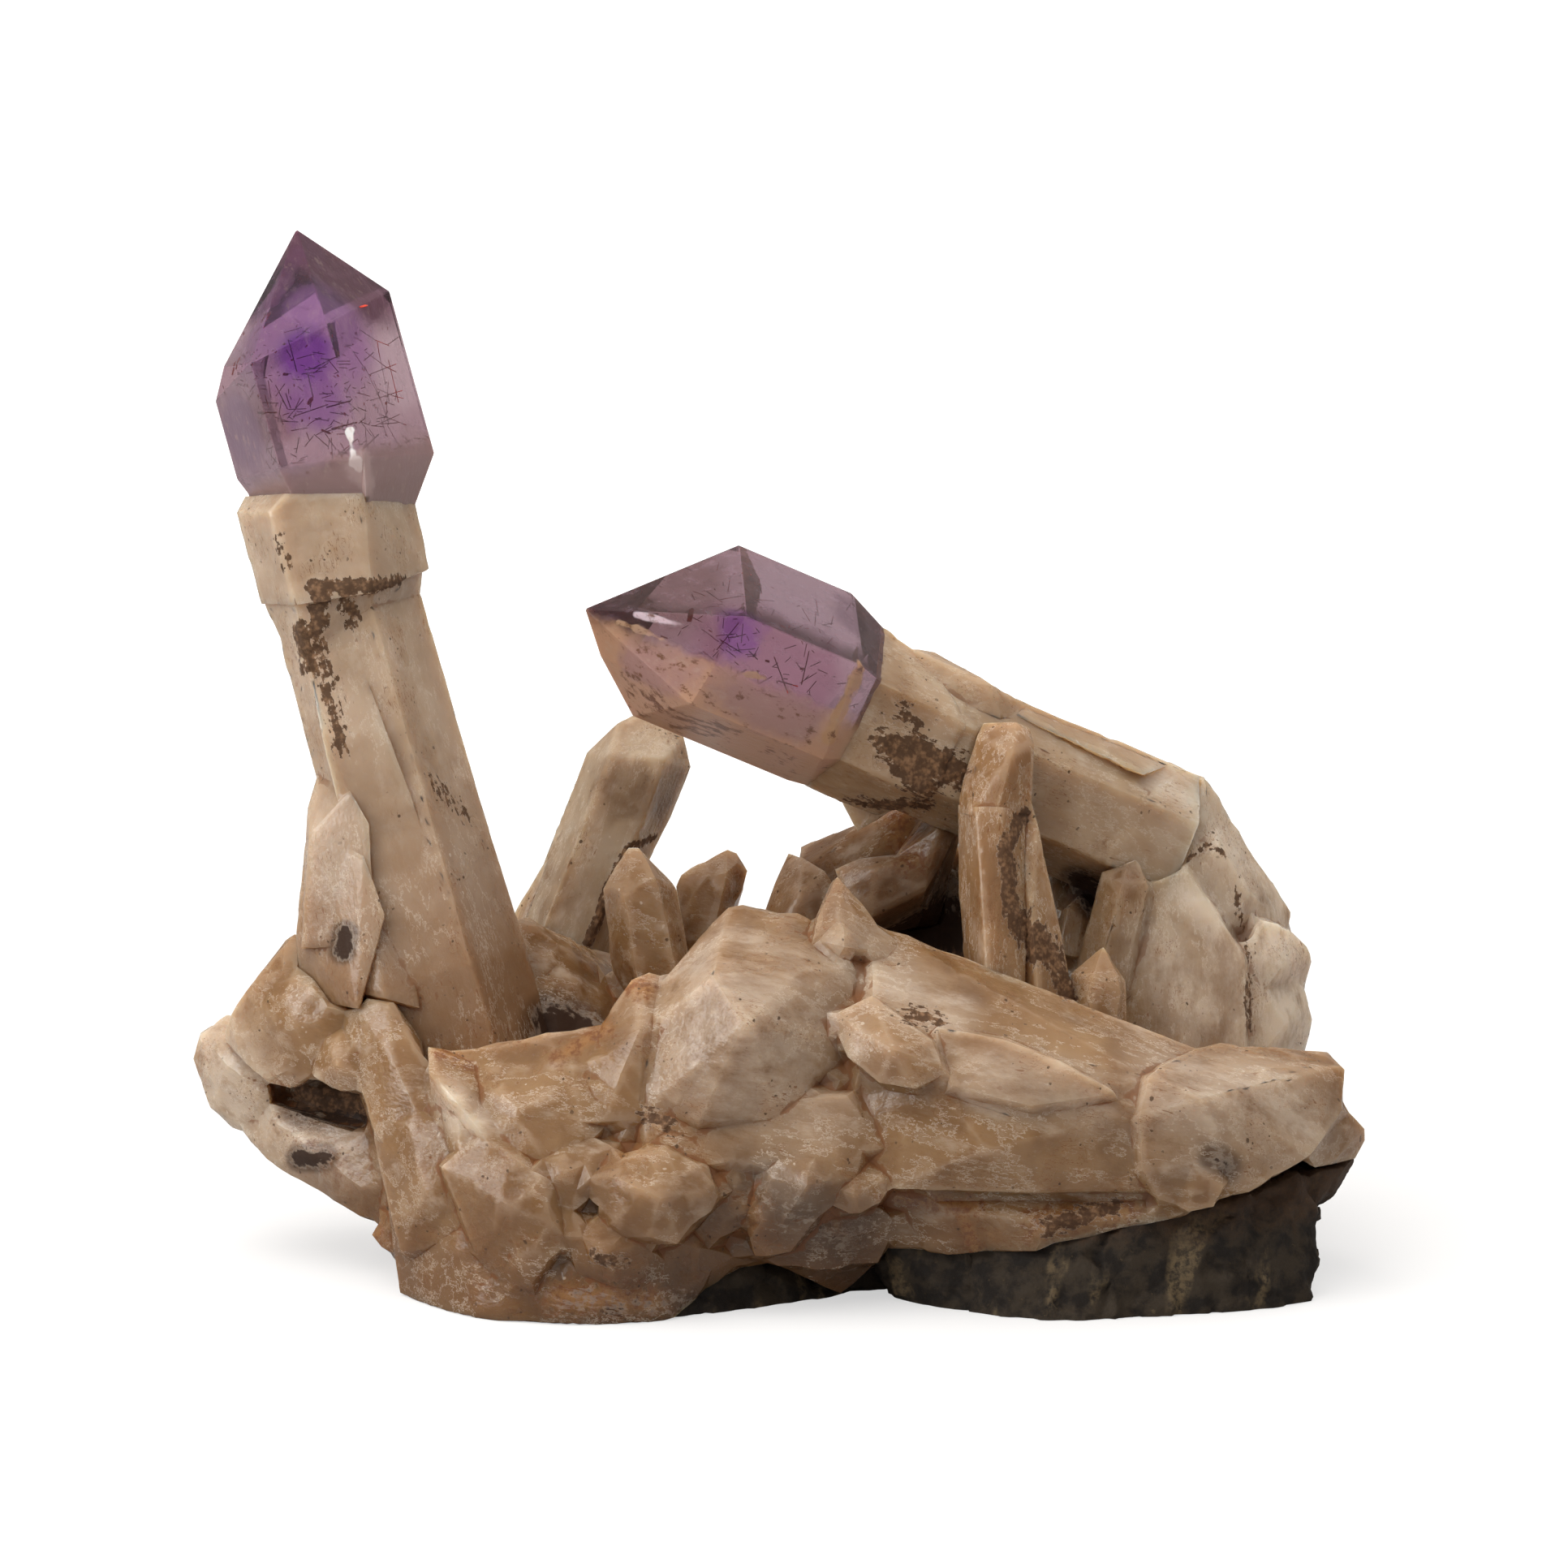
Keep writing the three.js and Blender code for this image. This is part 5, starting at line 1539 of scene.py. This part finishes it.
@dataclass(frozen=True)
class Lamp:
    """A square soft light, in metres and watts. glints tells whether shiny faces mirror it."""

    name: str
    place: Triple
    size: float
    power: float
    glints: bool = False

    def hang(self) -> None:
        """Hangs the light, turned to the specimen. Clear crystal hides it."""
        data = bpy.data.lights.new(self.name, "AREA")
        data.size, data.energy = self.size, self.power
        light = new_object(self.name, data)
        light.location = self.place
        light.visible_transmission = False
        light.visible_glossy = self.glints
        way = Vector(VIEW.centre) - Vector(self.place)
        light.rotation_euler = way.to_track_quat("-Z", "Y").to_euler()


@dataclass
class Studio:
    """The plain floor, the soft lights and the camera. Lengths are in metres."""

    floor_size: float = 6.0
    floor_gap: float = 0.00005
    floor_colour: Triple = (0.4, 0.39, 0.38)
    floor_glow: float = 0.57
    floor_roughness: float = 0.9
    floor_shine: float = 0.1
    white_from: float = 0.12
    white_at: float = 0.5
    zenith: Triple = (0.60, 0.58, 0.56)
    nadir: Triple = (0.075, 0.065, 0.055)
    sky_heights: Limits = (-0.3, 0.9)
    clip: Limits = (0.01, 20.0)
    lamps: Sequence[Lamp] = (
        Lamp("overhead", (-0.28, -0.2, 0.68), 0.9, 7.0),
        Lamp("left", (-0.7, -0.35, 0.35), 0.4, 2.0, glints=True),
        Lamp("rear", (0.55, 0.5, 0.42), 0.8, 3.4),
    )

    @staticmethod
    def seen(sheet: Sheet) -> Wire:
        """Returns 1 for what is seen, also through clear crystal, and 0 for light that falls on things."""
        path = sheet.node("ShaderNodeLightPath")
        return sheet.greater(sheet.out(path, "Is Camera Ray"), sheet.out(path, "Is Transmission Ray"))

    def floor(self) -> None:
        """Lays the floor under the specimen. It glows a little, as a table lit from below does."""
        half = self.floor_size / 2
        mesh = bpy.data.meshes.new("floor")
        corners = [(-half, -half, 0), (half, -half, 0), (half, half, 0), (-half, half, 0)]
        mesh.from_pydata(corners, [], [(0, 1, 2, 3)])
        floor = new_object("floor", mesh)
        floor.location.z = CAD_BOX[0][2] - self.floor_gap
        material, sheet, place = new_material("floor")
        far = sheet.ease(sheet.length(place), self.white_from / MM, self.white_at / MM)
        inputs = {
            "Base Color": self.floor_colour,
            "Roughness": self.floor_roughness,
            "Specular IOR Level": self.floor_shine,
            "Emission Color": WHITE,
            "Emission Strength": self.seen(sheet) * (self.floor_glow + far * (1.0 - self.floor_glow)),
        }
        sheet.node("ShaderNodeOutputMaterial", {"Surface": sheet.principled(inputs)})
        mesh.materials.append(material)

    def world(self) -> None:
        """Gives a white backdrop, and a grey light from all round that is stronger from above."""
        world = bpy.data.worlds.new("studio")
        world.use_nodes = True
        world.node_tree.nodes.clear()
        sheet = Sheet(world.node_tree)
        height = sheet.height_of(sheet.wire("ShaderNodeTexCoord", None, "Generated"))
        sky = sheet.blend(sheet.ease(height, *self.sky_heights), self.nadir, self.zenith)
        around, backdrop = (sheet.wire("ShaderNodeBackground", {"Color": colour}) for colour in (sky, WHITE))
        mixed = sheet.wire("ShaderNodeMixShader", {0: self.seen(sheet), 1: around, 2: backdrop})
        sheet.node("ShaderNodeOutputWorld", {"Surface": mixed})
        bpy.context.scene.world = world

    def camera(self) -> None:
        """Sets the camera up where the photograph was taken from."""
        data = bpy.data.cameras.new("camera")
        data.sensor_width = VIEW.sensor
        data.lens = VIEW.sensor * VIEW.distance / VIEW.width
        data.clip_start, data.clip_end = self.clip
        camera = new_object("camera", data)
        camera.location = Vector(VIEW.centre) - VIEW.axes()[2] * VIEW.distance
        camera.rotation_euler = Euler((math.pi / 2 - VIEW.tilt, 0.0, 0.0))
        bpy.context.scene.camera = camera

    def build(self) -> None:
        """Sets up the whole studio."""
        self.floor()
        self.world()
        for lamp in self.lamps:
            lamp.hang()
        self.camera()
        bpy.context.scene.view_settings.view_transform = "Standard"


TALL_AXIS = leaning_axis(-15.5)
LEANING_AXIS = leaning_axis(-67.5, 20.0)
LYING_AXIS = leaning_axis(102.0)
DARK_NEEDLES = Inclusion("dark_needles", (0.17, 0.018, 0.018), (0.42, 0.045, 0.035))
RED_FLAKES = Inclusion("red_flakes", (0.80, 0.07, 0.03), (0.45, 0.03, 0.015))


SLIVER_TURN = 17.0
FLAKE_FLATNESS = 0.4
PLUG_LENGTH, PLUG_WIDTH = 9.0, 6.5


def plugs(*tips: Triple) -> tuple[Outgrowth, ...]:
    """Returns blunt points towards the viewer, which fill the gaps in the crust."""
    return tuple(Outgrowth((x, y, z + PLUG_LENGTH), (x, y, z), PLUG_WIDTH) for x, y, z in tips)


def slivers(width: float, *rows: tuple[float, ...]) -> tuple[Outgrowth, ...]:
    """Returns needles of one width from rows of their two ends."""
    turned = ((row, SLIVER_TURN * place) for place, row in enumerate(rows))
    return tuple(Outgrowth(row[:3], row[3:], width, spin=spin) for row, spin in turned)


def flakes(*rows: tuple[float, ...]) -> tuple[Outgrowth, ...]:
    """Returns flat flakes from rows of their two ends and their width."""
    return tuple(Outgrowth(row[:3], row[3:6], row[6], FLAKE_FLATNESS) for row in rows)


def quartz_lumps() -> Iterable[Lump]:
    """Describes every milky, smoky and rocky piece.

    Yields:
        One piece after the other.
    """
    milky, pillar, rear = "milky_quartz", leaning_axis(4.0), leaning_axis(21.0, -3.0)
    plain = Skin(facet_size=6.0, facet_depth=0.1, chip_depth=0.07)
    finish = Quartz(
        "tall_stem_quartz",
        body=(0.47, 0.34, 0.235),
        pale=(0.58, 0.46, 0.35),
        deep=(0.36, 0.245, 0.155),
        amber_and_shade=(0.20, 0.092, 0.031),
        low_height=58.0,
        axis=TALL_AXIS,
        silk=0.3,
        stain=0.4,
    )
    skin = Skin(facet_size=7.0, facet_depth=0.1, chip_depth=0.08, rib_depth=0.05, axis=TALL_AXIS)
    yield Lump("tall_stem", milky, finish, skin)
    finish = Quartz(
        "leaning_stem_quartz",
        body=(0.43, 0.29, 0.175),
        pale=(0.54, 0.41, 0.285),
        deep=(0.30, 0.18, 0.095),
        axis=LEANING_AXIS,
        stain=0.4,
    )
    skin = Skin(facet_depth=0.18, rib_depth=0.05, axis=LEANING_AXIS, seed=2.0)
    yield Lump("leaning_stem", milky, finish, skin)
    finish = Quartz("pillar_quartz", body=(0.29, 0.16, 0.072), axis=pillar)
    yield Lump("pillar_crystal", milky, finish, replace(plain, axis=pillar, seed=3.0))
    finish = Quartz(
        "back_crystal_quartz", body=(0.42, 0.30, 0.19), pale=(0.55, 0.45, 0.34), axis=rear, stain=0.4
    )
    yield Lump("back_crystal", milky, finish, replace(plain, axis=rear, seed=4.0))
    finish = Quartz(
        "smoky_quartz",
        body=(0.22, 0.115, 0.048),
        pale=(0.33, 0.205, 0.105),
        deep=(0.11, 0.05, 0.018),
        axis=leaning_axis(60.0),
        roughness=0.28,
    )
    yield Lump("slanted_crystal", "smoky_quartz", finish, replace(plain, seed=5.0))
    finish = Quartz(
        "wall_quartz",
        body=(0.30, 0.185, 0.095),
        pale=(0.45, 0.32, 0.20),
        axis=leaning_axis(2.0),
        silk=0.5,
        stain=0.4,
    )
    skin = Skin(voxel=0.3, closing=0.5, facet_size=4.5, facet_depth=0.12, seed=6.0)
    yield Lump("crystal_wall", milky, finish, skin, Breakage(3600, depth=0.4, size=3.0))
    finish = Quartz("base_quartz", axis=LYING_AXIS, silk=0.4, stain=0.6)
    skin = Skin(voxel=0.3, closing=0.6, facet_size=4.0, facet_depth=0.1, chip_depth=0.06, seed=7.0)
    breakage = Breakage(9000, depth=0.55, size=3.2, seed=3.0)
    tips = ((-15.4, -34.5, -22.5), (-19.4, -41.8, -23.0), (-21.4, -47.0, -23.5), (5.0, -29.1, -22.0))
    yield Lump("quartz_base", milky, finish, skin, breakage, plugs(*tips))
    skin = Skin(facet_size=3.5, facet_depth=0.8, grain_size=1.2, grain_depth=0.25, seed=8.0)
    yield Lump("matrix_rock", "host_rock", HostRock(), skin)


TALL_NEEDLES = (
    *slivers(0.16, (-51.8, 36.6, -9.6, -49.9, 36.6, -10.2), (-44.6, 35.0, -10.4, -42.2, 35.6, -10.2),
        (-45.1, 37.1, -10.4, -42.9, 37.7, -10.2)),
    *slivers(0.11, (-48.8, 43.7, -10.2, -48.0, 40.6, -10.4), (-50.1, 39.3, -10.0, -48.9, 36.9, -10.4),
        (-49.1, 38.5, -10.2, -48.6, 37.0, -10.4), (-46.9, 40.3, -10.4, -46.4, 38.1, -10.4),
        (-46.5, 40.9, -10.4, -44.1, 42.1, -10.0), (-48.4, 36.2, -10.4, -44.9, 37.4, -10.3),
        (-44.0, 33.0, -10.3, -43.2, 31.6, -10.3)),
    *slivers(0.08, (-42.4, 44.6, -5.0, -38.9, 43.2, -4.0), (-41.8, 42.4, -5.0, -38.2, 40.6, -3.5),
        (-41.4, 40.2, -5.0, -38.2, 41.4, -3.5), (-40.6, 38.8, -5.0, -37.5, 38.0, -3.5),
        (-42.0, 37.4, -5.0, -37.6, 38.8, -3.5), (-40.8, 36.2, -5.0, -37.2, 35.4, -3.5),
        (-41.6, 34.9, -5.0, -38.0, 36.4, -3.5), (-40.1, 43.6, -4.4, -39.4, 39.4, -4.4),
        (-39.0, 41.8, -4.0, -38.0, 37.6, -4.0), (-41.0, 39.6, -5.0, -39.6, 35.4, -4.4),
        (-39.8, 35.2, -4.6, -38.2, 32.8, -4.0), (-42.1, 41.0, -5.4, -40.2, 37.6, -5.0)),
)
LEANING_NEEDLES = (
    *slivers(0.12, (-3.5, 13.2, -15.4, -2.6, 12.3, -15.2), (-6.2, 14.2, -16.0, -4.2, 13.0, -15.7),
        (-0.6, 10.2, -14.2, 1.4, 9.6, -13.8), (2.4, 13.2, -13.6, 1.7, 9.8, -13.5),
        (-3.8, 14.8, -16.3, -5.4, 14.4, -16.3), (-4.4, 15.9, -16.3, -6.6, 13.2, -16.0),
        (-1.0, 12.6, -14.8, 0.4, 8.9, -13.8)),
)
TALL_FLAKES = flakes(
    (-53.2, 40.2, -4.6, -52.8, 41.0, -4.7, 0.7), (-52.5, 40.7, -4.9, -52.2, 41.4, -5.0, 0.6),
    (-46.9, 37.4, -10.6, -46.4, 38.2, -10.5, 0.8), (-45.6, 34.9, -10.6, -44.6, 34.5, -10.5, 0.6),
    (-41.8, 47.0, -6.6, -41.0, 47.2, -6.3, 0.6), (-50.9, 45.1, -6.6, -50.4, 46.2, -6.6, 0.5),
)
LEANING_FLAKES = flakes(
    (-9.3, 16.0, -15.2, -9.0, 17.2, -14.9, 0.6), (-12.1, 14.6, -14.9, -11.4, 14.3, -15.0, 0.4),
)


def tall_amethyst() -> Amethyst:
    """Returns the finish of the tall head: violet inside, darkened at its tip by painted shade, and nearly
    clear at its right.
    """
    return Amethyst(
        "tall_amethyst",
        zones=(
            Zone((-37.3, 41.3, -3.0), 4.5, (0.50, 0.39, 0.40), 0.85),
            Zone((-53.3, 43.7, -5.0), 2.2, (0.46, 0.33, 0.37), 0.8),
            Zone((-50.6, 36.5, -10.0), 3.0, (0.15, 0.06, 0.07), 0.8),
            Zone((-46.5, 44.4, -9.0), 7.0, (0.21, 0.075, 0.24), 0.95),
            Zone((-46.1, 37.6, -10.0), 3.0, (0.14, 0.035, 0.21), 0.8),
            Zone((-47.2, 42.3, -10.5), 2.8, (0.085, 0.010, 0.20), 1.0, 2.0),
            # These two darken the tip with painted shade, standing for the dark surroundings it mirrors
            Zone((-47.0, 53.0, -4.0), 5.2, (0.07, 0.018, 0.04), 0.95, end=(-40.6, 50.2, -3.0)),
            Zone((-50.9, 48.2, -5.0), 3.4, (0.06, 0.014, 0.065), 0.9, end=(-48.2, 53.4, -4.0)),
        ),
        clouds=(
            Zone((-53.4, 34.6, -6.0), 4.6, (0.155, 0.09, 0.145), 0.85, 2.0),
            Zone((-36.4, 32.6, -3.0), 3.2, (0.34, 0.21, 0.21), 0.6),
            # These two also darken the tip with painted shade
            Zone((-47.4, 54.6, -4.0), 4.6, (0.12, 0.042, 0.065), 0.75, 3.0, (-40.0, 50.0, -5.0)),
            Zone((-51.0, 48.0, -7.0), 1.6, (0.14, 0.05, 0.11), 0.6, 2.0, (-48.4, 53.0, -6.0)),
            Zone((-44.9, 51.2, -6.4), 0.9, (0.46, 0.34, 0.34), 0.6, 1.5, (-43.6, 50.0, -6.0)),
            Zone((-47.0, 47.6, -9.0), 3.0, (0.26, 0.12, 0.28), 0.42, 3.0, (-42.6, 46.2, -9.0)),
            Zone((-42.8, 34.6, -10.9), 0.35, (0.98, 0.95, 0.93), 1.0, 1.8, (-42.4, 31.6, -10.9)),
            Zone((-42.2, 32.0, -10.9), 0.3, (0.95, 0.90, 0.88), 1.0, 1.8, (-41.6, 29.4, -10.6)),
            Zone((-41.6, 31.4, -10.6), 1.5, (0.50, 0.36, 0.34), 0.7, 3.0, (-40.4, 29.4, -10.4)),
            Zone((-42.0, 27.9, -10.0), 0.4, (0.10, 0.045, 0.018), 0.95, 1.6, (-38.6, 28.2, -9.0)),
        ),
        haze=((-45.0, 31.6, -3.0), 1.8),
        haze_axis=TALL_AXIS,
        haze_colour=(0.31, 0.19, 0.175),
        axis=TALL_AXIS,
    )


def leaning_amethyst() -> Amethyst:
    """Returns the finish of the leaning head: clear above, and rough, tan and milky below."""
    right, up, _ = VIEW.axes()
    return Amethyst(
        "leaning_amethyst",
        zones=(
            Zone((-11.0, 19.0, -13.0), 6.0, (0.17, 0.085, 0.075), 0.9),
            Zone((2.4, 17.6, -10.0), 6.5, (0.38, 0.28, 0.31), 0.85),
            Zone((6.2, 16.4, -8.0), 2.2, (0.13, 0.075, 0.10), 0.7, 4.0),
            Zone((-18.5, 15.7, -13.0), 3.6, (0.14, 0.055, 0.065), 0.85),
            Zone((-4.6, 12.6, -16.0), 5.0, (0.21, 0.075, 0.115), 0.9, end=(1.0, 10.0, -14.0)),
            Zone((-4.4, 15.0, -17.0), 2.4, (0.13, 0.028, 0.17), 1.0, 4.0),
        ),
        clouds=(
            Zone((-14.6, 16.7, -15.0), 0.35, (0.80, 0.66, 0.72), 0.85, 0.6, (-8.0, 15.3, -15.6)),
            Zone((-12.0, 15.8, -15.0), 0.35, (0.70, 0.56, 0.62), 0.7, 0.9, (-8.6, 15.0, -15.6)),
            Zone((-16.3, 16.0, -14.6), 0.3, (0.50, 0.32, 0.19), 0.9, 1.6, (-7.6, 12.4, -15.4)),
            Zone((-7.6, 12.3, -15.4), 0.35, (0.50, 0.30, 0.16), 0.9, 1.8, (0.0, 9.6, -15.0)),
            Zone((7.7, 12.3, -12.7), 0.8, (0.50, 0.29, 0.15), 0.95, 2.6, (4.4, 4.8, -11.4)),
            Zone((-14.0, 12.4, -14.0), 2.4, (0.34, 0.19, 0.19), 0.7, 4.0, (1.5, 6.6, -13.0)),
        ),
        haze=((-6.5, 11.7, -12.0), 1.6),
        haze_axis=tuple(right * 0.37 + up * 0.93),
        haze_colour=(0.52, 0.30, 0.18),
        axis=LEANING_AXIS,
        dirtiness=1.0,
        dirty=Zone((-16.0, 9.6, -13.0), 2.0, (0.0, 0.0, 0.0), 1.0, 2.0, (-6.5, 4.6, -12.0)),
    )


def sceptre_heads() -> Iterable[SceptreHead]:
    """Returns the two clear heads."""
    yield SceptreHead(
        "tall_head",
        tall_amethyst(),
        (
            Strew("needles", DARK_NEEDLES, 120.0, 0.5, 3.4, 0.085, 0.085, seed=3),
            Strew("flakes", RED_FLAKES, 14.0, 0.3, 0.7, 0.1, 0.3, seed=8),
        ),
        (
            Sealed("long_needles", DARK_NEEDLES, TALL_NEEDLES),
            Sealed("large_flakes", RED_FLAKES, TALL_FLAKES),
        ),
        TALL_AXIS,
    )
    yield SceptreHead(
        "leaning_head",
        leaning_amethyst(),
        (
            Strew("needles", DARK_NEEDLES, 80.0, 0.5, 2.6, 0.08, 0.08, seed=13),
            Strew("flakes", RED_FLAKES, 6.0, 0.3, 0.6, 0.1, 0.25, seed=18),
        ),
        (
            Sealed("long_needles", DARK_NEEDLES, LEANING_NEEDLES),
            Sealed("large_flakes", RED_FLAKES, LEANING_FLAKES),
        ),
        LEANING_AXIS,
    )


def main() -> None:
    """Builds the studio, then every piece in turn."""
    logging.basicConfig(level=logging.INFO, format="%(message)s")
    Studio().build()
    for lump in quartz_lumps():
        lump.build()
    for head in sceptre_heads():
        head.build()


if __name__ == "__main__":
    main()
